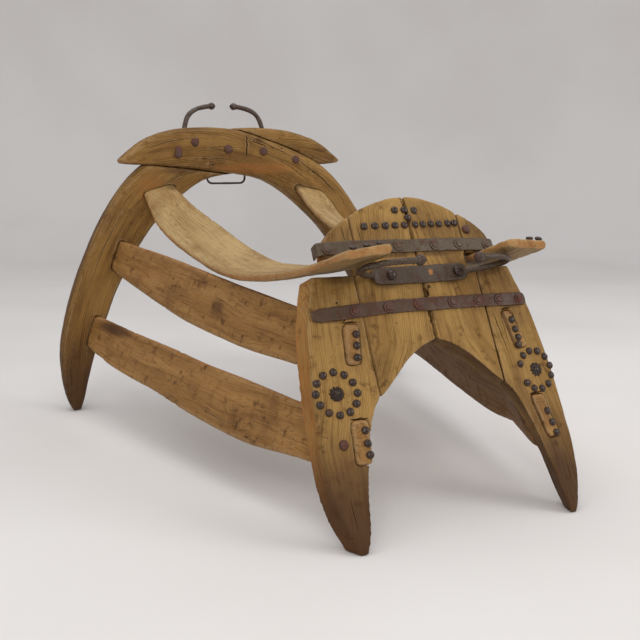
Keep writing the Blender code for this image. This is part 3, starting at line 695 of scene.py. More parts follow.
def directions(mesh: bpy.types.Mesh) -> Array:
    """The outward direction at each point of the mesh.

    Args:
        mesh: Any mesh.

    Returns:
        One row for each point.
    """
    normals = np.empty(len(mesh.vertices) * 3)
    mesh.vertex_normals.foreach_get("vector", normals)
    return normals.reshape(-1, 3)


def move_points(mesh: bpy.types.Mesh, points: Array) -> None:
    """Puts new points in the mesh."""
    mesh.vertices.foreach_set("co", points.ravel())
    mesh.update()


def smoothed(mesh: bpy.types.Mesh, points: Array, passes: int, strength: float = 0.6) -> Array:
    """Points drawn towards the mean of their neighbours.

    Args:
        mesh: The mesh whose edges say what the neighbours are.
        points: The points to smooth.
        passes: How many times to do it.
        strength: How far each pass goes.

    Returns:
        The smoothed points.
    """
    edges = np.empty(len(mesh.edges) * 2, np.int32)
    mesh.edges.foreach_get("vertices", edges)
    first, second = edges.reshape(-1, 2).T
    count = len(points)
    degree = np.bincount(first, minlength=count) + np.bincount(second, minlength=count)
    result = points.copy()
    for _ in range(passes):
        mean = np.empty_like(result)
        for axis in range(3):
            total = np.bincount(first, result[second, axis], count)
            total += np.bincount(second, result[first, axis], count)
            mean[:, axis] = total / degree
        result += (mean - result) * strength
    return result


def convexity(mesh: bpy.types.Mesh, passes: int, full: float) -> Array:
    """How far each point stands out of its surroundings, from -1 in a hollow to 1 on an edge.

    Args:
        mesh: Any mesh.
        passes: How many times the surroundings are evened out.
        full: The distance that counts as 1.

    Returns:
        One value for each point.
    """
    points = coordinates(mesh)
    proud = ((points - smoothed(mesh, points, passes)) * directions(mesh)).sum(axis=1)
    return np.clip(proud / full, -1.0, 1.0)


def set_mask(mesh: bpy.types.Mesh, name: str, values: Array) -> None:
    """Stores one number for each point of the mesh."""
    layer = mesh.attributes.new(name, "FLOAT", "POINT")
    layer.data.foreach_set("value", values.astype(np.float32))


def voxel_copy(name: str, node: str, voxel: float) -> bpy.types.Object:
    """A finely divided copy of a node's shape.

    Args:
        name: Name of the new piece.
        node: The node to copy.
        voxel: Size of the new mesh's faces.

    Returns:
        The new piece.
    """
    rough = link(name + "_rough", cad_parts[node].data.copy())
    remesh = rough.modifiers.new("remesh", "REMESH")
    remesh.mode = "VOXEL"
    remesh.voxel_size = voxel * 1.0
    evaluated = rough.evaluated_get(bpy.context.evaluated_depsgraph_get())
    mesh = bpy.data.meshes.new_from_object(evaluated)
    bpy.data.objects.remove(rough)
    return add_piece(name, mesh)


def add_piece(name: str, mesh: bpy.types.Mesh) -> bpy.types.Object:
    """Links a mesh as a smooth-shaded piece.

    Args:
        name: The piece's name.
        mesh: Its mesh.

    Returns:
        The new piece.
    """
    mesh.name = name
    mesh.polygons.foreach_set("use_smooth", [True] * len(mesh.polygons))
    return link(name, mesh)


def settle(piece: bpy.types.Object, nodes: Iterable[str] = (),
           body: str = TREE) -> None:
    """Hangs a piece on its body, hides the nodes that it replaces and logs its faces.

    Args:
        piece: The finished piece.
        nodes: The nodes that it replaces.
        body: The body that it moves with.
    """
    nodes = tuple(nodes)
    if nodes:
        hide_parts(*nodes)
    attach(piece, body)
    LOG.info("%s: %d faces", piece.name, len(piece.data.polygons))


# ---------------------------------------------------------------- marks in the wood
@dataclass(frozen=True)
class Crack:
    """A split that opens the surface along a line of points."""

    points: tuple[Vector, ...]
    outward: Vector
    width: float
    depth: float
    ragged: float = 0.5

    STEP = 0.0035
    LIFT = 0.003
    SHAKE = (310.0, 310.0, 310.0)

    def wedge(self, builder: bmesh.types.BMesh, surface: BVHTree, noise: Noise) -> Array:
        """Adds the wedge that the split takes out.

        Args:
            builder: The cutter's mesh.
            surface: The wood's surface.
            noise: Where the raggedness comes from.

        Returns:
            The points along the split.
        """
        line = self._line()
        rings = []
        for index, point in enumerate(line):
            part = index / (len(line) - 1)
            opening = self.width * (0.25 + 0.75 * math.sin(math.pi * part) ** 0.6)
            onward = (line[min(index + 1, len(line) - 1)] - line[max(index - 1, 0)]).normalized()
            sideways = onward.cross(self.outward).normalized()
            shake = noise.at(np.array([point]), self.SHAKE)[0] * self.ragged * self.width
            found = surface.find_nearest(point)[0] or point
            base = found + sideways * shake
            deep = self.depth * (0.35 + 0.65 * math.sin(math.pi * part) ** 0.5)
            half = opening * 0.5 * (deep + self.LIFT) / deep
            above = base + self.outward * self.LIFT
            corners = (above + sideways * half, above - sideways * half, base - self.outward * deep)
            rings.append([builder.verts.new(corner) for corner in corners])
        skin(builder, rings)
        builder.faces.new(rings[0])
        builder.faces.new(rings[-1])
        return np.array([tuple(point) for point in line])

    def _line(self) -> list[Vector]:
        """Evenly spaced points along the split."""
        line = [self.points[0]]
        for start, end in zip(self.points, self.points[1:]):
            count = max(3, int((end - start).length / self.STEP))
            line += [start.lerp(end, (step + 1) / count) for step in range(count)]
        return line


@dataclass(frozen=True)
class WormHole:
    """A small round hole."""

    place: Vector
    outward: Vector
    radius: float = 0.0009
    depth: float = 0.006

    SIDES = 9
    PROUD = 0.001
    BOTTOM = 0.7
    MOUTH = 1.1

    def drill(self, builder: bmesh.types.BMesh, surface: BVHTree) -> Array:
        """Adds the hole's cutter and returns its place as one row.

        Args:
            builder: The cutter's mesh.
            surface: The wood's surface.

        Returns:
            The hole's place as one row.
        """
        found = surface.find_nearest(self.place)[0] or self.place
        turn = self.outward.to_track_quat("Z", "Y").to_matrix().to_4x4()
        place = Matrix.Translation(found - self.outward * (self.depth * 0.5 - self.PROUD)) @ turn
        length = self.depth + self.PROUD * 2.0
        bmesh.ops.create_cone(builder, cap_ends=True, segments=self.SIDES, radius1=self.radius * self.BOTTOM,
                              radius2=self.radius * self.MOUTH, depth=length, matrix=place)
        return np.array([tuple(found)])


@dataclass(frozen=True)
class Stain:
    """A patch of a tint round a point: dirt, dust or amber, and in one place a painted shadow."""

    mask: str
    centre: Vector
    reach: tuple[float, float, float]
    strength: float = 1.0

    def amount(self, points: Array) -> Array:
        """How strong the tint is at each point."""
        distance = np.linalg.norm((points - np.array(self.centre)) / np.array(self.reach), axis=1)
        return self.strength * smooth_step(distance, 1.0, 0.25)


def cut_marks(piece: bpy.types.Object, cracks: Sequence[Crack], holes: Sequence[WormHole],
              seed: int) -> Array:
    """Cuts the splits and worm holes out of a piece.

    Args:
        piece: The piece of wood.
        cracks: Its splits.
        holes: Its worm holes.
        seed: Seed of the raggedness.

    Returns:
        Points in the cuts, as rows of three.
    """
    surface = BVHTree.FromObject(piece, bpy.context.evaluated_depsgraph_get())
    noise = Noise(seed)
    builder = bmesh.new()
    dark = [crack.wedge(builder, surface, noise) for crack in cracks]
    dark += [hole.drill(builder, surface) for hole in holes]
    bmesh.ops.recalc_face_normals(builder, faces=builder.faces)
    cutter = link("marks", made_mesh(builder, "marks"))
    boolean = piece.modifiers.new("marks", "BOOLEAN")
    boolean.solver = "MANIFOLD"
    boolean.object = cutter
    evaluated = piece.evaluated_get(bpy.context.evaluated_depsgraph_get())
    mesh = bpy.data.meshes.new_from_object(evaluated)
    piece.modifiers.clear()
    bpy.data.objects.remove(cutter)
    if len(mesh.polygons) > FEWEST_FACES:
        piece.data = mesh
    else:
        LOG.warning("%s: its marks could not be cut", piece.name)
    return np.vstack(dark)


# ---------------------------------------------------------------- pieces of wood
@dataclass
class WoodPiece:
    """One weathered piece of wood that stands for a node."""

    node: str
    kind: WoodKind
    run: GrainRun
    seed: int
    voxel: float = 0.0018
    rounding: int = 7
    hollows: float = 0.0007
    chips: float = 0.0016
    follow: float = 1.0
    cracks: tuple[Crack, ...] = ()
    holes: tuple[WormHole, ...] = ()
    stains: tuple[Stain, ...] = ()
    foot_height: float = 0.0
    foot_strength: float = 0.9
    toe_height: float = 0.028
    toe_shrink: float = 0.26

    GUIDES = {GrainRun.UP_THE_FACE: (0.0, -0.89, 0.45), GrainRun.ALONG_THE_BOARD: (1.0, 0.0, 0.0),
              GrainRun.ROUND_THE_BEND: (0.0, 1.0, 0.0)}
    BINS = 34
    HUB_HEIGHT = 0.06
    HUB_ACROSS = 0.03
    WAVES = ((11.0, 32.0, 32.0), (28.0, 120.0, 120.0), (16.0, 300.0, 300.0))
    SECOND_WAVE = 0.35
    THIRD_WAVE = 0.00018
    BITES = (70.0, 45.0, 45.0)
    NICKS = (170.0, 170.0, 170.0)
    SOUND_HEIGHT = 0.01
    GRAIN_SHIFT = 0.37
    # Reach and strength of the painted shade in and round the cuts.
    CUT_BORDER = (0.0020, 0.0006)
    CUT_SHADE = 0.5

    def build(self, finishes: Finishes) -> bpy.types.Object:
        """Makes the piece, weathers it and dresses it.

        Args:
            finishes: The materials.

        Returns:
            The finished piece.
        """
        piece = voxel_copy(self.node + "_wood", self.node, self.voxel)
        self._weather(piece.data)
        dark = np.empty((0, 3))
        if self.cracks or self.holes:
            dark = cut_marks(piece, self.cracks, self.holes, self.seed)
        self._paint_masks(piece.data, dark)
        piece.data.polygons.foreach_set("use_smooth", [True] * len(piece.data.polygons))
        piece.data.set_sharp_from_angle(angle=SHARP_ANGLE)
        finishes.dress(piece, self.kind)
        settle(piece, [self.node])
        return piece

    def _keys(self, points: Array) -> Array:
        """A number that grows along the grain.

        Args:
            points: Points in the wood.

        Returns:
            One value for each point.
        """
        if self.run is GrainRun.UP_THE_FACE:
            return points @ np.array(FRONT.axes(1.0)[1])
        if self.run is GrainRun.ALONG_THE_BOARD:
            return -points[:, 1]
        hub = self.HUB_ACROSS if "far" in self.node else -self.HUB_ACROSS
        mirror = -1.0 if "far" in self.node else 1.0
        return np.unwrap(np.arctan2((points[:, 0] - hub) * mirror, points[:, 2] - self.HUB_HEIGHT))

    def grain(self, points: Array) -> Array:
        """Positions along, across and into the grain.

        Args:
            points: Points in the wood.

        Returns:
            Rows of along, across and depth, in metres.
        """
        keys = self._keys(points)
        marks = np.linspace(keys.min(), keys.max(), self.BINS + 1)
        inside = np.clip(np.digitize(keys, marks) - 1, 0, self.BINS - 1)
        middles = (marks[1:] + marks[:-1]) * 0.5
        count = np.maximum(np.bincount(inside, minlength=self.BINS), 1)
        sums = [np.bincount(inside, points[:, axis], self.BINS) for axis in range(3)]
        centres = np.stack([total / count for total in sums], axis=1)
        for _ in range(3):
            centres[1:-1] = (centres[:-2] + centres[1:-1] * 2.0 + centres[2:]) / 4.0
        straight = np.linspace(centres[0], centres[-1], self.BINS)
        centres = straight + (centres - straight) * self.follow
        onward = np.gradient(centres, axis=0)
        onward /= np.linalg.norm(onward, axis=1, keepdims=True)
        length = np.concatenate(([0.0], np.cumsum(np.linalg.norm(np.diff(centres, axis=0), axis=1))))

        def at_points(columns: Array) -> Array:
            """Values at the points between those at the middles."""
            return np.stack([np.interp(keys, middles, columns[:, axis]) for axis in range(3)], axis=1)

        direction = at_points(onward)
        direction /= np.linalg.norm(direction, axis=1, keepdims=True)
        offset = points - at_points(centres)
        guide = np.array(self.GUIDES[self.run])
        sideways = np.cross(direction, guide)
        sideways /= np.linalg.norm(sideways, axis=1, keepdims=True)
        inward = np.cross(sideways, direction)
        along = np.interp(keys, middles, length) + (offset * direction).sum(axis=1)
        return np.stack([along, (offset * sideways).sum(axis=1), (offset * inward).sum(axis=1)], axis=1)

    def _weather(self, mesh: bpy.types.Mesh) -> None:
        """Rounds the edges, chips them and wears the soft grain down.

        Args:
            mesh: The piece's mesh, which is changed.
        """
        noise = Noise(self.seed)
        move_points(mesh, smoothed(mesh, coordinates(mesh), self.rounding))
        points = coordinates(mesh)
        grain = self.grain(points)
        edge = np.clip(convexity(mesh, 8, 0.0012), 0.0, 1.0)
        heights = (self.hollows, self.hollows * self.SECOND_WAVE, self.THIRD_WAVE)
        depth = sum(noise.at(grain, wave) * height for wave, height in zip(self.WAVES, heights))
        bites = smooth_step(noise.at(grain, self.BITES), 0.25, 0.85)
        nicks = smooth_step(noise.at(points, self.NICKS), 0.35, 0.9)
        depth -= edge * (bites * self.chips + nicks * self.chips * 0.5)
        low = np.clip(points[:, 2] / self.SOUND_HEIGHT, 0.0, 1.0)
        moved = points + directions(mesh) * (depth * low)[:, None]
        if self.foot_height:
            moved = self._blunt_foot(moved)
        moved[:, 2] = np.maximum(moved[:, 2], 0.0)
        move_points(mesh, moved)

    def _blunt_foot(self, points: Array) -> Array:
        """Rounds the lowest part of a leg in towards its middle.

        Args:
            points: The leg's points.

        Returns:
            The points with a narrower, blunter foot.
        """
        low = points[:, 2] < self.toe_height
        middle = (points[low, :2].min(axis=0) + points[low, :2].max(axis=0)) * 0.5
        share = np.clip(1.0 - points[low, 2] / self.toe_height, 0.0, 1.0) ** 2.0 * self.toe_shrink
        rounded = points.copy()
        rounded[low, :2] = middle + (points[low, :2] - middle) * (1.0 - share)[:, None]
        return rounded

    def _paint_masks(self, mesh: bpy.types.Mesh, dark: Array) -> None:
        """Stores the grain, the rubbed edges and hollows, and the tints on the mesh, painted shade among
        them.

        Args:
            mesh: The finished mesh.
            dark: Points in the cuts.
        """
        points = coordinates(mesh)
        layer = mesh.attributes.new("grain", "FLOAT_VECTOR", "POINT")
        grain = self.grain(points) + self.seed * self.GRAIN_SHIFT
        layer.data.foreach_set("vector", grain.astype(np.float32).ravel())
        set_mask(mesh, "wear_and_hollow_shade", convexity(mesh, 6, 0.0006))
        masks = {name: np.zeros(len(points)) for name in ("soil_and_shade", "dust", "amber")}
        tints = [(stain.mask, stain.amount(points)) for stain in self.stains]
        # The foot is made darker towards the bottom.
        if self.foot_height:
            fade = smooth_step(points[:, 2], self.foot_height, self.foot_height * 0.12)
            tints.append(("soil_and_shade", fade * self.foot_strength))
        # Painted shade in and round the cuts.
        if len(dark):
            tints.append(("soil_and_shade", self._cut_shade(points, dark)))
        for name, values in tints + self._facing_tints_and_shade(points, directions(mesh)):
            masks[name] = np.maximum(masks[name], values)
        for name, values in masks.items():
            set_mask(mesh, name, values)

    def _cut_shade(self, points: Array, dark: Array) -> Array:
        """Painted shade: a dark border in and round the cuts.

        Args:
            points: The piece's points.
            dark: Points in the cuts.

        Returns:
            The painted shade's strength at each point.
        """
        nearest = np.full(len(points), 1.0)
        for spot in dark:
            nearest = np.minimum(nearest, np.linalg.norm(points - spot, axis=1))
        return smooth_step(nearest, *self.CUT_BORDER) * self.CUT_SHADE

    def _facing_tints_and_shade(self, points: Array, normals: Array) -> list[tuple[str, Array]]:
        """Tints by which way the faces turn: amber on the sawn sides, and painted shade on the undersides,
        inner faces, backs and leg sides.

        Args:
            points: The piece's points.
            normals: The outward direction at each point.

        Returns:
            Pairs of a tint's name and its strength at each point.
        """
        aslant = normals[:, 0] * np.sign(points[:, 0].mean())
        if self.kind is WoodKind.FRONT:
            facing = normals @ np.array(FRONT.outward(math.copysign(1.0, points[:, 0].mean())))
            outer = smooth_step(np.abs(points[:, 0]), 0.06, 0.11)
            side = smooth_step(np.abs(facing), 0.62, 0.25)
            inwards = smooth_step(-normals[:, 0] * np.sign(points[:, 0]) - normals[:, 2] * 0.6, 0.1, 0.6)
            # Painted shade on the inner sides, undersides and backs of the planks.
            return [("amber", side * outer * 0.75 * (1.0 - inwards)), ("soil_and_shade", side * inwards * 0.72),
                    ("soil_and_shade", smooth_step(facing, -0.3, -0.9) * 0.35)]
        if self.kind is WoodKind.SEAT:
            # Painted shade on the undersides of the seat boards.
            return [("amber", smooth_step(np.abs(normals[:, 2]), 0.8, 0.35) * 0.6),
                    ("soil_and_shade", smooth_step(normals[:, 2], -0.2, -0.8) * 0.45)]
        if self.kind is WoodKind.SIDE:
            # Painted shade on the faces that turn towards the middle.
            return [("amber", smooth_step(np.abs(normals[:, 2]), 0.45, 0.9) * 0.5),
                    ("soil_and_shade", smooth_step(-aslant, 0.1, 0.8) * 0.55)]
        # Painted shade on the sideways faces of the rear legs.
        outwards = np.abs(normals[:, 0]) * smooth_step(points[:, 2], 0.42, 0.30)
        return [("soil_and_shade", smooth_step(outwards, 0.45, 0.95) * 0.55)]


def front_crack(start: Place, end: Place, width: float, depth: float = MARK_DEPTH) -> Crack:
    """A split on the front arch's face between two places."""
    return Crack((FRONT.point(*start), FRONT.point(*end)), FRONT.outward(start[0]), width, depth)


def front_hole(across: float, up: float, radius: float = 0.0009) -> WormHole:
    """A worm hole in the front arch's face."""
    return WormHole(FRONT.point(across, up), FRONT.outward(across), radius)


def rear_crack(places: Sequence[Place], width: float, depth: float = MARK_DEPTH, back: float = 0.0) -> Crack:
    """A split on the rear arch's front face through some places."""
    points = tuple(REAR.point(across, up, back) for across, up in places)
    return Crack(points, REAR.outward(*places[0]), width, depth)


def board_crack(places: Sequence[Sequence[float]], outward: Vector, width: float, depth: float) -> Crack:
    """A split in the face of a board."""
    return Crack(tuple(Vector(place) for place in places), outward, width, depth)


def rear_hole(across: float, up: float, radius: float) -> WormHole:
    """A worm hole in the rear arch's front face."""
    return WormHole(REAR.point(across, up), REAR.outward(across, up), radius)


@dataclass
class FrontArch:
    """Six planks edge to edge: two in the middle, two crown corners and two legs."""

    voxel: float = 0.0014
    middle_width: float = 0.0030
    dark_foot_height: float = 0.17

    def build(self, finishes: Finishes) -> list[bpy.types.Object]:
        """Makes the six planks and returns them.

        Args:
            finishes: The materials.

        Returns:
            The finished pieces.
        """
        parts = (("centre", self._centre_marks, 0.0), ("crown", self._crown_marks, 0.0),
                 ("leg", self._leg_marks, self.dark_foot_height))
        made = []
        for seed, ((part, marks, soiled), (side, sign)) in enumerate(itertools.product(parts, SIDES), 11):
            cracks, holes, stains = marks(sign)
            plank = WoodPiece(f"front_arch_{part}_{side}", WoodKind.FRONT, GrainRun.UP_THE_FACE, seed,
                              voxel=self.voxel, cracks=cracks, holes=holes, stains=stains, follow=0.55,
                              hollows=0.0005, foot_height=soiled)
            made.append(plank.build(finishes))
        return made

    def _centre_marks(self, side: float) -> tuple[tuple, tuple, tuple]:
        """Marks of a middle plank.

        Args:
            side: -1 for the left, 1 for the right.

        Returns:
            Its splits, its worm holes and its stains.
        """
        seam = 0.0004 * side
        cracks = [front_crack((seam, 0.221), (seam, 0.3005), self.middle_width, 0.008),
                  front_crack((seam, 0.318), (seam, 0.392), 0.0018, 0.006)]
        if side < 0.0:
            cracks += [front_crack((-0.0025, 0.374), (-0.0045, 0.396), 0.0013),
                       front_crack((-0.0640, 0.340), (-0.0650, 0.362), 0.0010, 0.004)]
            holes = [front_hole(-0.045, 0.243, 0.0007)]
        else:
            cracks += [front_crack((0.0045, 0.2865), (0.0030, 0.2735), 0.0020),
                       front_crack((0.0640, 0.336), (0.0635, 0.350), 0.0009, 0.004)]
            holes = [front_hole(0.0060, 0.2840, 0.0024), front_hole(0.044, 0.236, 0.0007)]
        stains = (Stain("soil_and_shade", FRONT.point(0.045 * side, 0.292), (0.030, 0.030, 0.014), 0.65),
                  Stain("soil_and_shade", FRONT.point(0.03 * side, 0.325), (0.060, 0.020, 0.008), 0.6),
                  Stain("dust", FRONT.point(0.03 * side, 0.245), (0.05, 0.05, 0.02), 0.45),
                  Stain("soil_and_shade", FRONT.point(0.045 * side, 0.352), (0.050, 0.030, 0.030), 0.42),
                  Stain("dust", FRONT.point(0.02 * side, 0.3955), (0.09, 0.03, 0.010), 0.7))
        return tuple(cracks), tuple(holes), stains

    def _crown_marks(self, side: float) -> tuple[tuple, tuple, tuple]:
        """Marks of a crown corner.

        Args:
            side: -1 for the left, 1 for the right.

        Returns:
            Its splits, its worm holes and its stains.
        """
        cracks = (front_crack((0.0840 * side, 0.340), (0.0850 * side, 0.361), 0.0010),)
        holes = (front_hole(0.0930 * side, 0.347, 0.0008),)
        stains = (Stain("soil_and_shade", FRONT.point(0.095 * side, 0.350), (0.050, 0.030, 0.030), 0.5),
                  Stain("soil_and_shade", FRONT.point(0.10 * side, 0.3245), (0.05, 0.02, 0.006), 0.8))
        return cracks, holes, stains

    def _leg_marks(self, side: float) -> tuple[tuple, tuple, tuple]:
        """Marks of a leg.

        Args:
            side: -1 for the left, 1 for the right.

        Returns:
            Its splits, its worm holes and its stains.
        """
        if side < 0.0:
            cracks = (front_crack((-0.0905, 0.2470), (-0.1075, 0.2475), 0.0026, 0.007),
                      front_crack((-0.1065, 0.2480), (-0.1020, 0.2535), 0.0016),
                      front_crack((-0.1020, 0.1405), (-0.1220, 0.1410), 0.0026, 0.007),
                      front_crack((-0.1385, 0.024), (-0.1400, 0.060), 0.0008, 0.003))
            holes = (front_hole(-0.1090, 0.2710, 0.0015), front_hole(-0.1505, 0.1240, 0.0007),
                     front_hole(-0.1190, 0.1500, 0.0007))
        else:
            cracks = (front_crack((0.1015, 0.2480), (0.1180, 0.2490), 0.0028, 0.007),
                      front_crack((0.1000, 0.2460), (0.1010, 0.2060), 0.0015, 0.006),
                      front_crack((0.0885, 0.2470), (0.0960, 0.2000), 0.0018, 0.007),
                      front_crack((0.1120, 0.1430), (0.1310, 0.1445), 0.0024, 0.006),
                      front_crack((0.1175, 0.1450), (0.1150, 0.1530), 0.0012),
                      front_crack((0.1385, 0.030), (0.1410, 0.072), 0.0008, 0.003))
            holes = (front_hole(0.1050, 0.1750, 0.0007), front_hole(0.1130, 0.2640, 0.0007))
        stains = (Stain("soil_and_shade", FRONT.point(0.120 * side, 0.2520), (0.035, 0.015, 0.007), 0.55),
                  Stain("soil_and_shade", FRONT.point(0.098 * side, 0.2980), (0.040, 0.030, 0.010), 0.55),
                  Stain("soil_and_shade", FRONT.point(0.110 * side, 0.110), (0.010, 0.02, 0.05), 0.45),
                  Stain("dust", FRONT.point(0.120 * side, 0.205), (0.05, 0.04, 0.05), 0.5))
        return cracks, holes, stains


@dataclass
class RearArch:
    """Two bent timbers that cross at the top and stand as wide legs."""

    voxel: float = 0.0019

    def build(self, finishes: Finishes) -> list[bpy.types.Object]:
        """Makes the two timbers and returns them.

        Args:
            finishes: The materials.

        Returns:
            The finished pieces.
        """
        near = WoodPiece("rear_timber_near", WoodKind.REAR, GrainRun.ROUND_THE_BEND, 31, voxel=self.voxel,
                         hollows=0.0011, chips=0.0022, cracks=self._near_cracks(), holes=self._near_holes(),
                         stains=self._near_stains(), foot_height=0.16)
        far = WoodPiece("rear_timber_far", WoodKind.REAR, GrainRun.ROUND_THE_BEND, 32, voxel=self.voxel,
                        hollows=0.0011, chips=0.0022, cracks=self._far_cracks(), stains=self._far_stains(),
                        foot_height=0.19)
        return [near.build(finishes), far.build(finishes)]

    def _near_cracks(self) -> tuple[Crack, ...]:
        """Splits of the timber that shows in front."""
        return (rear_crack(((0.0225, 0.4460), (0.0215, 0.4060)), 0.0030, 0.012),
                rear_crack(((0.030, 0.4420), (0.062, 0.4270), (0.104, 0.4085)), 0.0014, 0.006),
                rear_crack(((0.118, 0.3985), (0.150, 0.3760), (0.180, 0.3480)), 0.0020, 0.007),
                rear_crack(((0.036, 0.4320), (0.056, 0.4260)), 0.0018, 0.006),
                rear_crack(((0.060, 0.4100), (0.100, 0.3900), (0.140, 0.3580)), 0.0009),
                rear_crack(((-0.158, 0.4180), (-0.120, 0.4310), (-0.080, 0.4370)), 0.0010),
                rear_crack(((-0.090, 0.4000), (-0.050, 0.4040), (-0.010, 0.4030)), 0.0009),
                rear_crack(((-0.060, 0.4210), (-0.020, 0.4240), (0.015, 0.4210)), 0.0009),
                rear_crack(((0.232, 0.260), (0.252, 0.205), (0.270, 0.150)), 0.0012))

    def _near_holes(self) -> tuple[WormHole, ...]:
        """Worm holes of the timber that shows in front."""
        places = ((-0.050, 0.3960), (-0.014, 0.3945), (-0.041, 0.3925), (0.030, 0.4360), (0.035, 0.4335),
                  (0.086, 0.4225), (0.134, 0.3830), (0.142, 0.3790))
        return tuple(rear_hole(across, up, 0.0011 + 0.0003 * (index % 3))
                     for index, (across, up) in enumerate(places))

    def _near_stains(self) -> tuple[Stain, ...]:
        """Dark and light patches of the timber that shows in front."""
        return (Stain("soil_and_shade", REAR.point(-0.10, 0.452), (0.16, 0.02, 0.014), 0.5),
                Stain("soil_and_shade", REAR.point(0.045, 0.436), (0.020, 0.012, 0.008), 0.6),
                Stain("soil_and_shade", REAR.point(-0.105, 0.409), (0.014, 0.010, 0.012), 0.6),
                Stain("amber", REAR.point(0.03, 0.386), (0.14, 0.03, 0.018), 0.55),
                Stain("dust", REAR.point(-0.05, 0.428), (0.12, 0.02, 0.014), 0.5))

    def _far_cracks(self) -> tuple[Crack, ...]:
        """Splits of the timber that lies behind."""
        return (rear_crack(((-0.200, 0.320), (-0.235, 0.262), (-0.262, 0.200)), 0.0010, 0.005, 0.006),
                rear_crack(((-0.256, 0.170), (-0.272, 0.110), (-0.280, 0.060)), 0.0009, 0.005, 0.006),
                rear_crack(((-0.291, 0.120), (-0.300, 0.070), (-0.299, 0.030)), 0.0010, 0.005, 0.006),
                rear_crack(((-0.150, 0.345), (-0.110, 0.372), (-0.060, 0.385)), 0.0009, 0.005, 0.006),
                rear_crack(((0.080, 0.428), (0.140, 0.410), (0.180, 0.398)), 0.0009, 0.005, 0.006))

    def _far_stains(self) -> tuple[Stain, ...]:
        """Dark and light patches of the timber that lies behind; the first is a painted shadow under the near
        timber's lower edge.
        """
        # Painted shadow: the near timber's lower edge shades this timber just below it.
        return (Stain("soil_and_shade", REAR.point(-0.08, 0.384, 0.006), (0.10, 0.02, 0.012), 0.6),
                Stain("soil_and_shade", REAR.point(0.165, 0.418, 0.01), (0.03, 0.02, 0.008), 0.5),
                Stain("dust", REAR.point(-0.245, 0.200, 0.006), (0.04, 0.03, 0.14), 0.6),
                Stain("amber", REAR.point(-0.15, 0.35, 0.006), (0.05, 0.03, 0.05), 0.4))


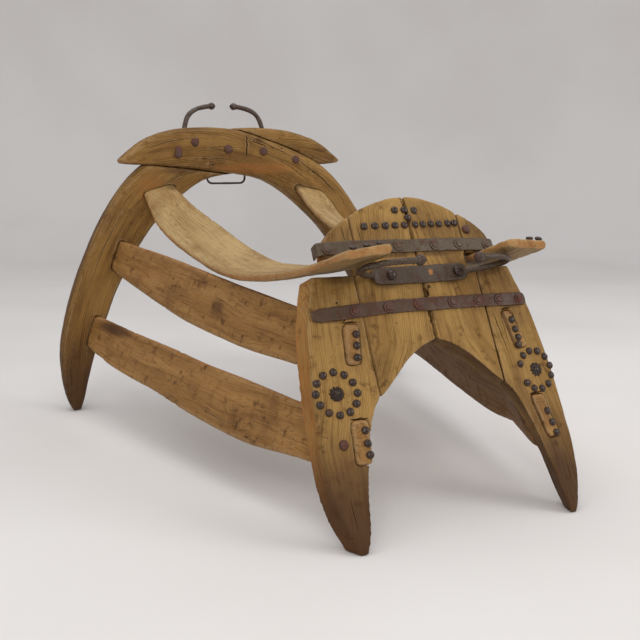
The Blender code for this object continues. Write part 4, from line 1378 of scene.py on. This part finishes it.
@dataclass
class Boards:
    """The six long boards that join the two arches."""

    voxel: float = 0.0019

    def build(self, finishes: Finishes) -> list[bpy.types.Object]:
        """Makes the six boards and returns them.

        Args:
            finishes: The materials.

        Returns:
            The finished pieces.
        """
        levels = (("seat", self._seat_marks, WoodKind.SEAT), ("mid", self._mid_marks, WoodKind.SIDE),
                  ("lower", self._lower_marks, WoodKind.SIDE))
        made = []
        for seed, ((level, marks, kind), (side, sign)) in enumerate(itertools.product(levels, SIDES), 51):
            cracks, holes, stains = marks(sign)
            board = WoodPiece(f"{level}_board_{side}", kind, GrainRun.ALONG_THE_BOARD, seed, voxel=self.voxel,
                              hollows=0.0009, chips=0.0032, rounding=5, cracks=cracks, holes=holes,
                              stains=stains)
            made.append(board.build(finishes))
        return made

    def _seat_marks(self, side: float) -> tuple[tuple, tuple, tuple]:
        """Marks of a seat board.

        Args:
            side: -1 for the left, 1 for the right.

        Returns:
            Its splits, its worm holes and its stains.
        """
        up = Vector((0.0, 0.0, 1.0))
        cracks = (board_crack(((0.112 * side, 0.02, 0.262), (0.114 * side, 0.13, 0.283)), up, 0.0008, 0.003),
                  board_crack(((0.135 * side, 0.17, 0.285), (0.138 * side, 0.27, 0.315)), up, 0.0009, 0.003))
        holes = (WormHole(Vector((0.13 * side, 0.31, 0.34)), up, 0.0010),
                 WormHole(Vector((0.12 * side, 0.06, 0.27)), up, 0.0007))
        stains = (Stain("soil_and_shade", Vector((0.112 * side, 0.325, 0.352)), (0.025, 0.022, 0.02), 0.6),
                  Stain("soil_and_shade", Vector((0.150 * side, 0.02, 0.250)), (0.012, 0.16, 0.012), 0.5),
                  Stain("soil_and_shade", Vector((0.100 * side, -0.300, 0.290)), (0.05, 0.05, 0.02), 0.45),
                  Stain("dust", Vector((0.115 * side, 0.10, 0.275)), (0.04, 0.17, 0.04), 0.8))
        return cracks, holes, stains

    def _mid_marks(self, side: float) -> tuple[tuple, tuple, tuple]:
        """Marks of a middle side board.

        Args:
            side: -1 for the left, 1 for the right.

        Returns:
            Its splits, its worm holes and its stains.
        """
        out = Vector((side, 0.0, 0.25)).normalized()
        x = 0.165 * side
        cracks = (board_crack(((x, -0.114, 0.181), (x, -0.108, 0.166)), out, 0.0014, 0.006),
                  board_crack(((0.19 * side, 0.28, 0.240), (0.18 * side, 0.17, 0.228)), out, 0.0012, 0.004),
                  board_crack(((0.17 * side, -0.02, 0.222), (0.165 * side, -0.08, 0.214)), out, 0.0009,
                              0.003))
        holes = (WormHole(Vector((x, -0.114, 0.184)), out, 0.0026, 0.012),
                 WormHole(Vector((x, 0.035, 0.203)), out, 0.0011),
                 WormHole(Vector((x, 0.10, 0.232)), out, 0.0008))
        stains = (Stain("soil_and_shade", Vector((0.170 * side, -0.034, 0.205)), (0.05, 0.030, 0.020), 0.75),
                  Stain("soil_and_shade", Vector((0.175 * side, 0.10, 0.215)), (0.05, 0.060, 0.012), 0.4),
                  Stain("dust", Vector((0.165 * side, -0.12, 0.205)), (0.05, 0.09, 0.03), 0.5),
                  Stain("amber", Vector((0.19 * side, 0.19, 0.225)), (0.05, 0.10, 0.03), 0.3))
        return cracks, holes, stains

    def _lower_marks(self, side: float) -> tuple[tuple, tuple, tuple]:
        """Marks of a lower side board.

        Args:
            side: -1 for the left, 1 for the right.

        Returns:
            Its splits, its worm holes and its stains.
        """
        out = Vector((side, 0.0, 0.25)).normalized()
        long_split = ((0.255 * side, 0.27, 0.118), (0.23 * side, 0.12, 0.098), (0.21 * side, 0.02, 0.090))
        cracks = (board_crack(long_split, out, 0.0011, 0.004),
                  board_crack(((0.20 * side, -0.06, 0.082), (0.185 * side, -0.16, 0.078)), out, 0.0009,
                              0.004))
        spots = ((-0.264, 0.090), (-0.262, 0.083), (-0.232, 0.078), (-0.258, 0.098), (-0.05, 0.085),
                 (-0.06, 0.080))
        holes = tuple(WormHole(Vector((0.16 * side, y, z)), out, 0.0010) for y, z in spots)
        stains = (Stain("soil_and_shade", Vector((0.245 * side, 0.22, 0.142)), (0.05, 0.12, 0.014), 0.8),
                  Stain("soil_and_shade", Vector((0.22 * side, 0.06, 0.105)), (0.05, 0.05, 0.012), 0.4),
                  Stain("dust", Vector((0.19 * side, -0.10, 0.115)), (0.06, 0.14, 0.022), 0.45))
        return cracks, holes, stains


# ---------------------------------------------------------------- ironwork
@dataclass(frozen=True)
class NailHead:
    """A hand-made nail head: a dome, a flatter rivet or a flower."""

    radius: float
    height: float
    rim: float = 0.0004
    flatness: float = 1.0
    petals: int = 0
    stretch: float = 1.0
    dent: float = 0.05
    sides: int = 28
    rings: int = 8

    SUNK = 0.0012
    TILT = 0.09

    def mesh(self, place: Vector, outward: Vector, seed: int) -> bpy.types.Mesh:
        """The head's mesh.

        Args:
            place: Where the head's rim meets the surface.
            outward: The way that the head faces.
            seed: Seed of its dents and tilt.

        Returns:
            The new mesh.
        """
        rng = np.random.default_rng(seed)
        noise = Noise(seed)
        tilt = Vector(rng.uniform(-self.TILT, self.TILT, 3))
        turn = (outward + tilt).normalized().to_track_quat("Z", "Y").to_matrix()
        spin = rng.uniform(0.0, math.tau)
        rows = [(0.90, -self.SUNK), (0.98, 0.0), (1.0, self.rim)]
        for step in range(1, self.rings):
            part = step / self.rings
            rise = math.sin(part * math.pi / 2.0) ** self.flatness
            rows.append((math.cos(part * math.pi / 2.0), self.rim + (self.height - self.rim) * rise))
        builder = bmesh.new()
        loops = []
        for row, (reach, level) in enumerate(rows, 1):
            ring = []
            for side in range(self.sides):
                angle = math.tau * side / self.sides + spin
                wide, high = self._shaped(reach, level, angle, row)
                flat = np.array([(math.cos(angle) * wide, math.sin(angle) * wide, high)])
                flat *= 1.0 + self.dent * noise.at(flat * (1.0, 1.0, 0.4), (0.9 / self.radius,) * 3)[0]
                point = Vector((flat[0, 0], flat[0, 1] * self.stretch, flat[0, 2]))
                ring.append(builder.verts.new(place + turn @ point))
            loops.append(ring)
        bottom = builder.verts.new(place + turn @ Vector((0.0, 0.0, -self.SUNK)))
        top = builder.verts.new(place + turn @ Vector((0.0, 0.0, self.height)))
        for side in range(self.sides):
            after = (side + 1) % self.sides
            builder.faces.new((bottom, loops[0][after], loops[0][side]))
            builder.faces.new((top, loops[-1][side], loops[-1][after]))
        skin(builder, loops)
        return made_mesh(builder, "head")

    def _shaped(self, reach: float, level: float, angle: float, row: int) -> tuple[float, float]:
        """Width and height of a point, with the petals pressed in.

        Args:
            reach: How far out the point is, as a share of the radius.
            level: Its height on the plain dome.
            angle: Its angle round the head.
            row: Which ring it is in.

        Returns:
            Its distance from the head's axis and its height.
        """
        if not self.petals or row < 3:
            return self.radius * reach, level
        groove = 0.5 - 0.5 * math.cos(self.petals * angle)
        outer = max(0.0, min(1.0, (reach - 0.34) / 0.2))
        moat = math.exp(-((reach - 0.42) / 0.10) ** 2)
        high = level - self.height * (0.42 * groove * outer + 0.40 * moat)
        return self.radius * reach * (1.0 - 0.12 * groove * outer), max(high, self.rim * 0.5)


@dataclass(frozen=True)
class Washer:
    """A thin ring under a rivet's head."""

    outer: float = 0.0066
    inner: float = 0.0032
    thickness: float = 0.0009
    sides: int = 32

    def mesh(self, place: Vector, outward: Vector, seed: int) -> bpy.types.Mesh:
        """The washer's mesh.

        Args:
            place: The middle of the washer's underside.
            outward: The way that it faces.
            seed: Seed of its uneven rim.

        Returns:
            The new mesh.
        """
        noise = Noise(seed)
        turn = outward.to_track_quat("Z", "Y").to_matrix()
        middle = (self.outer + self.inner) * 0.5
        rows = ((self.inner, 0.0), (self.outer, -0.0004), (self.outer * 0.985, self.thickness * 0.55),
                (self.outer * 0.93, self.thickness * 0.8), (middle, self.thickness),
                (self.inner * 1.08, self.thickness * 0.7), (self.inner, self.thickness * 0.35))
        builder = bmesh.new()
        loops = []
        for reach, level in rows:
            ring = []
            for side in range(self.sides):
                angle = math.tau * side / self.sides
                spot = np.array([(math.cos(angle), math.sin(angle), level * 300.0)])
                wide = reach * (1.0 + 0.05 * noise.at(spot, (1.6, 1.6, 1.6))[0])
                point = Vector((math.cos(angle) * wide, math.sin(angle) * wide, level))
                ring.append(builder.verts.new(place + turn @ point))
            loops.append(ring)
        skin(builder, loops, closed=True)
        bmesh.ops.recalc_face_normals(builder, faces=builder.faces)
        return made_mesh(builder, "washer")


@dataclass(frozen=True)
class Knob:
    """The faceted, pointed end of a hook's rod."""

    radius: float = 0.0064
    length: float = 0.0125
    facets: int = 6
    rows: tuple[Place, ...] = ((0.55, 0.0), (0.80, 0.10), (1.0, 0.32), (0.97, 0.62), (0.55, 0.86),
                               (0.16, 1.0))

    def mesh(self, end: Vector, onward: Vector, seed: int) -> bpy.types.Mesh:
        """The knob's mesh.

        Args:
            end: The rod's end, where the knob's point is.
            onward: The way that the rod points.
            seed: Seed of its uneven facets.

        Returns:
            The new mesh.
        """
        rng = np.random.default_rng(seed)
        turn = onward.to_track_quat("Z", "Y").to_matrix()
        start = end - onward * (self.length * 0.92)
        builder = bmesh.new()
        loops = []
        for reach, part in self.rows:
            ring = []
            for side in range(self.facets):
                angle = math.tau * (side + 0.5) / self.facets
                wide = self.radius * reach * rng.uniform(0.94, 1.05)
                point = Vector((math.cos(angle) * wide, math.sin(angle) * wide, part * self.length))
                ring.append(builder.verts.new(start + turn @ point))
            loops.append(ring)
        skin(builder, loops)
        builder.faces.new(loops[0])
        builder.faces.new(loops[-1])
        bmesh.ops.recalc_face_normals(builder, faces=builder.faces)
        bmesh.ops.bevel(builder, geom=builder.edges[:], offset=0.0005, segments=2, affect="EDGES")
        return made_mesh(builder, "knob")


class Surfaces:
    """The finished wood, for setting nails on."""

    START = 0.02
    REACH = 0.0046
    FEELERS = 8

    def __init__(self, pieces: Sequence[bpy.types.Object]) -> None:
        """Keeps a search tree of each piece."""
        depsgraph = bpy.context.evaluated_depsgraph_get()
        self.trees = [BVHTree.FromObject(piece, depsgraph) for piece in pieces]

    def under(self, place: Vector, outward: Vector) -> tuple[Vector, Vector]:
        """Where a nail pressed in from outside meets the wood.

        Args:
            place: Roughly where the nail is.
            outward: The way that its head faces.

        Returns:
            The point on the wood and the way that the head faces there.
        """
        across = outward.orthogonal().normalized()
        along = outward.cross(across)
        hits: list[tuple[float, Vector]] = []
        for number in range(self.FEELERS):
            angle = math.tau * number / self.FEELERS
            offset = (across * math.cos(angle) + along * math.sin(angle)) * self.REACH
            hit = self._first(place + offset, outward)
            if hit is not None:
                hits.append(hit)
        if not hits:
            return place, outward
        hits.sort(key=lambda hit: hit[0])
        height, normal = hits[min(1, len(hits) - 1)]
        return place + outward * (self.START - height), (normal + outward * 2.0).normalized()

    def _first(self, place: Vector, outward: Vector) -> Optional[tuple[float, Vector]]:
        """Looks for the first wood under a place.

        Args:
            place: Roughly where the wood is.
            outward: The way to come from.

        Returns:
            How far in the wood lies and its normal, or nothing.
        """
        best: Optional[tuple[float, Vector]] = None
        start = place + outward * self.START
        for tree in self.trees:
            point, normal, _, distance = tree.ray_cast(start, -outward, self.START * 2.0)
            if point is not None and (best is None or distance < best[0]):
                best = (distance, normal)
        return best


@dataclass
class Ironwork:
    """Straps, hooks, loop, rivets and nails."""

    finishes: Finishes
    surfaces: Surfaces
    dome: NailHead = NailHead(0.0044, 0.0030, 0.0005, dent=0.07)
    big_dome: NailHead = NailHead(0.0056, 0.0038, 0.0006, dent=0.12)
    plate_dome: NailHead = NailHead(0.0060, 0.0040, 0.0006, dent=0.08)
    lap_head: NailHead = NailHead(0.0072, 0.0027, 0.0007, flatness=0.7, dent=0.10)
    long_head: NailHead = NailHead(0.0074, 0.0026, 0.0007, flatness=0.6, stretch=1.35, dent=0.20)
    rivet: NailHead = NailHead(0.0041, 0.0016, 0.0004, flatness=0.6, dent=0.10)
    flower: NailHead = NailHead(0.0085, 0.0042, 0.0006, petals=10, dent=0.03, sides=60, rings=12)
    washer: Washer = Washer()
    knob: Knob = Knob()
    strap_voxel: float = 0.0008
    rod_voxel: float = 0.0009
    loop_voxel: float = 0.0006

    def build(self) -> None:
        """Makes all the iron."""
        self._bars()
        self._knobs()
        self._standing_for_nodes()
        self._crown_nails()
        self._rosettes()
        self._tenon_nails()
        self._tip_nails()

    def _bars(self) -> None:
        """The straps, hooks, staples and loop, with beaten and pitted surfaces."""
        bars = (("front_strap_upper", IronKind.UPPER_STRAP, self.strap_voxel, 0.00035, TREE),
                ("front_strap_lower", IronKind.LOWER_STRAP, self.strap_voxel, 0.00035, TREE),
                ("front_hook", IronKind.PLATE, self.rod_voxel, 0.00035, TREE),
                ("rear_hook", IronKind.ROD, self.rod_voxel, 0.00040, TREE),
                ("loop_staple_left", IronKind.ROD, self.loop_voxel, 0.00012, TREE),
                ("loop_staple_right", IronKind.ROD, self.loop_voxel, 0.00012, TREE),
                ("crupper_loop", IronKind.ROD, self.loop_voxel, 0.00025, LOOP))
        for seed, (node, kind, voxel, beating, body) in enumerate(bars, 71):
            piece = voxel_copy(node + "_iron", node, voxel)
            mesh = piece.data
            noise = Noise(seed)
            points = smoothed(mesh, coordinates(mesh), 3)
            depth = noise.at(points, (90.0,) * 3) * beating + noise.at(points, (330.0,) * 3) * beating * 0.4
            move_points(mesh, points + directions(mesh) * depth[:, None])
            set_mask(mesh, "wear_and_hollow_shade", convexity(mesh, 5, 0.0003))
            self.finishes.dress(piece, kind)
            settle(piece, [node], body=body)

    def _add(self, name: str, mesh: bpy.types.Mesh, kind: IronKind, nodes: Sequence[str]) -> None:
        """Adds one small piece of iron.

        Args:
            name: The piece's name.
            mesh: Its mesh.
            kind: Its finish.
            nodes: The nodes that it stands for.
        """
        piece = add_piece(name, mesh)
        self.finishes.dress(piece, kind)
        settle(piece, nodes)

    def _knobs(self) -> None:
        """The faceted ends of both double hooks."""
        plate_middle = 0.002
        for seed, (side_name, side) in enumerate(SIDES, 81):
            end = FRONT.point(0.027 * side, 0.292, plate_middle + 0.063)
            onward = (end - FRONT.point(0.041 * side, 0.2915, plate_middle + 0.0635)).normalized()
            knob = self.knob.mesh(end + onward * 0.002, onward, seed)
            self._add(f"front_hook_knob_{side_name}", knob, IronKind.ROD, ())
            back = REAR.far_back + plate_middle + 0.008
            end = REAR.point(0.015 * side, 0.495, back)
            onward = (end - REAR.point(0.032 * side, 0.493, back)).normalized()
            knob = self.knob.mesh(end + onward * 0.001, onward, seed + 2)
            self._add(f"rear_hook_knob_{side_name}", knob, IronKind.ROD, ())

    def _standing_for_nodes(self) -> None:
        """Heads in place of the model's own rivets, bosses and nails."""
        families = (("upper_rivet", self.rivet, IronKind.FAINT_RIVET, self.washer, -0.0002),
                    ("lower_rivet", self.rivet, IronKind.RIVET, self.washer, -0.0002),
                    ("hook_nail", self.plate_dome, IronKind.NAIL, None, 0.0),
                    ("rosette_boss", self.flower, IronKind.NAIL, None, 0.0),
                    ("big_nail", self.big_dome, IronKind.RIVET, None, 0.0),
                    ("lap_nail", self.lap_head, IronKind.RIVET, None, 0.0),
                    ("rear_plate_nail", self.plate_dome, IronKind.NAIL, None, 0.0))
        for family, head, kind, washer, lift in families:
            names = sorted(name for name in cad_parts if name.startswith(family))
            for seed, name in enumerate(names, 100 + len(family)):
                place, outward = self._head_of(name)
                shape = self.long_head if name == "lap_nail_2" else head
                if washer is not None:
                    ring = washer.mesh(place + outward * lift, outward, seed)
                    self._add(name + "_washer", ring, kind, ())
                    place = place + outward * (washer.thickness * 0.6)
                self._add(name + "_head", shape.mesh(place, outward, seed), kind, [name])

    def _head_of(self, node: str) -> tuple[Vector, Vector]:
        """Measures where a node's head sits.

        Args:
            node: A rivet, boss or nail.

        Returns:
            The middle of its seat and the way that it faces.
        """
        points = coordinates(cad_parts[node].data)
        middle = Vector(points.mean(axis=0))
        if node.startswith(("lap_nail", "rear_plate_nail")):
            across, up = middle.x, middle.z / math.cos(REAR.lean)
            outward = REAR.outward(across, up)
            if node.startswith("rear_plate_nail"):
                outward = -outward
        else:
            outward = FRONT.outward(middle.x)
        levels = points @ np.array(outward)
        rim = points[levels > levels.max() - 0.0010]
        top = Vector(rim.mean(axis=0))
        levels_out = np.linalg.norm(np.cross(points - np.array(top), np.array(outward)), axis=1)
        seat = levels[levels_out > levels_out.max() * 0.97].min()
        place = top + outward * (seat - top.dot(outward))
        if node.startswith(("lap_nail", "big_nail", "rosette_boss")):
            place = self.surfaces.under(place, outward)[0]
        return place, outward

    def _drive(self, name: str, place: Vector, outward: Vector, seed: int,
               head: Optional[NailHead] = None) -> None:
        """Sets one small nail on the wood.

        Args:
            name: The nail's name.
            place: Roughly where it is.
            outward: The way that its head faces.
            seed: Seed of its dents and tilt.
            head: Its shape, the small dome if none is given.
        """
        point, facing = self.surfaces.under(place, outward)
        self._add(name, (head or self.dome).mesh(point, facing, seed), IronKind.NAIL, ())

    def _crown_nails(self) -> None:
        """The row across the crown, the three above it and the one between."""
        row = (-0.057, -0.044, -0.031, -0.019, -0.007, 0.007, 0.018, 0.030, 0.042, 0.055, 0.065)
        level, sag, middle = 0.360, 0.085, 0.002
        places = [(across, level - sag * abs(across - middle) * abs(across)) for across in row]
        places += [(-0.015, 0.379), (-0.003, 0.379), (0.010, 0.378), (-0.001, 0.369)]
        for number, (across, up) in enumerate(places, 1):
            name = f"crown_nail_{number:02d}"
            self._drive(name, FRONT.point(across, up), FRONT.outward(across), 200 + number)

    def _rosettes(self) -> None:
        """A ring of nails round each flower-headed boss; one is lost from the right ring."""
        reach, count, lost = 0.0233, 12, 8
        for side_name, side, turned in (("left", -1.0, 0.045), ("right", 1.0, 0.42)):
            for number in range(count):
                if side > 0.0 and number == lost:
                    continue
                angle = math.tau * number / count + turned
                across = 0.131 * side + reach * math.sin(angle)
                up = 0.170 + reach * math.cos(angle)
                name = f"rosette_nail_{side_name}_{number + 1:02d}"
                seed = 300 + number + int(20 * side)
                self._drive(name, FRONT.point(across, up), FRONT.outward(across), seed)

    def _tenon_nails(self) -> None:
        """The short rows through the four tenons."""
        rows = (("upper_left", ((-0.096, 0.233), (-0.098, 0.220), (-0.100, 0.207))),
                ("lower_left", ((-0.109, 0.128), (-0.109, 0.114), (-0.109, 0.102))),
                ("upper_right", ((0.113, 0.233), (0.114, 0.221), (0.115, 0.211), (0.113, 0.202))),
                ("lower_right", ((0.130, 0.120), (0.133, 0.106), (0.135, 0.094))))
        for seed, (row, places) in enumerate(rows):
            for number, (across, up) in enumerate(places, 1):
                self._drive(f"tenon_nail_{row}_{number}", FRONT.point(across, up), FRONT.outward(across),
                            400 + seed * 10 + number)

    def _tip_nails(self) -> None:
        """Nails along the front ends of the two seat boards."""
        for side_name, side, shares in (("left", -1.0, (0.2, 0.5, 0.8)), ("right", 1.0, (0.12, 0.36))):
            low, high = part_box("seat_board_" + side_name)
            for number, share in enumerate(shares, 1):
                across = side * (0.126 - 0.052 * share)
                place = Vector((across, low.y + 0.0075, 0.301 + 0.006 * share))
                self._drive(f"tip_nail_{side_name}_{number}", place, Vector((0.0, -0.35, 0.94)).normalized(),
                            500 + number + int(10 * side), head=NailHead(0.0042, 0.0022, 0.0004, dent=0.1))


# ---------------------------------------------------------------- studio
@dataclass(frozen=True)
class Softbox:
    """A soft area light that points at the middle of the rack."""

    name: str
    place: tuple[float, float, float]
    size: Place
    power: float
    colour: Colour
    aim: tuple[float, float, float] = (0.0, 0.0, 0.15)

    def hang(self) -> None:
        """Adds the light."""
        data = bpy.data.lights.new(self.name, "AREA")
        data.shape = "RECTANGLE"
        data.size, data.size_y = self.size
        data.energy = self.power
        data.color = self.colour
        light = link(self.name, data)
        light.location = self.place
        look = Vector(self.aim) - Vector(self.place)
        light.rotation_euler = look.to_track_quat("-Z", "Y").to_euler()


@dataclass
class Studio:
    """A round pale backdrop, soft lights and the camera."""

    floor_radius: float = 2.6
    sweep: float = 1.1
    wall_height: float = 2.4
    bends: int = 12
    turns: int = 72
    below: float = 0.0004
    softboxes: tuple[Softbox, ...] = (
        Softbox("overhead", (-0.15, 0.10, 2.3), (1.9, 1.9), 19.0, (1.0, 0.985, 0.965)),
        Softbox("left_front", (-1.2, -2.2, 1.6), (1.3, 1.3), 20.0, (1.0, 0.98, 0.95)),
        Softbox("right", (1.7, -1.7, 1.4), (1.1, 1.3), 19.0, (0.97, 0.98, 1.0)))
    room_colour: tuple[float, float, float, float] = (0.93, 0.95, 1.0, 1.0)
    room_strength: float = 0.57
    camera_place: tuple[float, float, float] = (-0.539, -1.1532, 0.386)
    camera_aim: tuple[float, float, float] = (0.419, 0.8925, -0.1659)
    camera_roll: float = math.radians(-0.3)
    lens: float = 50.85

    def build(self) -> None:
        """Sets up the backdrop, lights and camera."""
        self._backdrop()
        self._lights()
        self._camera()

    def _backdrop(self) -> None:
        """The floor, which curves up into a wall all round."""
        profile = [(0.0, 0.0), (self.floor_radius * 0.5, 0.0), (self.floor_radius, 0.0)]
        for step in range(1, self.bends + 1):
            angle = math.pi / 2.0 * step / self.bends
            reach = self.floor_radius + self.sweep * math.sin(angle)
            profile.append((reach, self.sweep * (1.0 - math.cos(angle))))
        profile.append((self.floor_radius + self.sweep, self.wall_height))
        builder = bmesh.new()
        line = [builder.verts.new((reach, 0.0, height)) for reach, height in profile]
        edges = [builder.edges.new(pair) for pair in zip(line, line[1:])]
        bmesh.ops.spin(builder, geom=line + edges, cent=(0.0, 0.0, 0.0), axis=(0.0, 0.0, 1.0),
                       angle=math.tau, steps=self.turns)
        bmesh.ops.remove_doubles(builder, verts=builder.verts, dist=1e-5)
        bmesh.ops.recalc_face_normals(builder, faces=builder.faces)
        bmesh.ops.translate(builder, verts=builder.verts, vec=(0.0, 0.0, -self.below))
        backdrop = add_piece("backdrop", made_mesh(builder, "backdrop"))
        backdrop.data.materials.append(BackdropFinish().material())

    def _lights(self) -> None:
        """Soft light from above, the left front and the right, in a pale room."""
        for softbox in self.softboxes:
            softbox.hang()
        world = bpy.data.worlds.new("room")
        bpy.context.scene.world = world
        world.use_nodes = True
        background = world.node_tree.nodes["Background"]
        background.inputs["Color"].default_value = self.room_colour
        background.inputs["Strength"].default_value = self.room_strength

    def _camera(self) -> None:
        """The camera, low at the left front corner."""
        data = bpy.data.cameras.new("camera")
        data.lens = self.lens
        data.sensor_width = 36.0
        camera = link("camera", data)
        camera.location = self.camera_place
        look = Vector(self.camera_aim).to_track_quat("-Z", "Y").to_matrix()
        camera.rotation_euler = (look @ Matrix.Rotation(self.camera_roll, 3, "Z")).to_euler()
        bpy.context.scene.camera = camera
        bpy.context.scene.view_settings.view_transform = "Standard"


def main() -> None:
    """Builds the studio and every part of the rack."""
    logging.basicConfig(level=logging.INFO, format="%(message)s", stream=sys.stdout)
    Studio().build()
    finishes = Finishes()
    front = FrontArch().build(finishes)
    rear = RearArch().build(finishes)
    boards = Boards().build(finishes)
    Ironwork(finishes, Surfaces(front + rear + boards)).build()


if __name__ == "__main__":
    main()
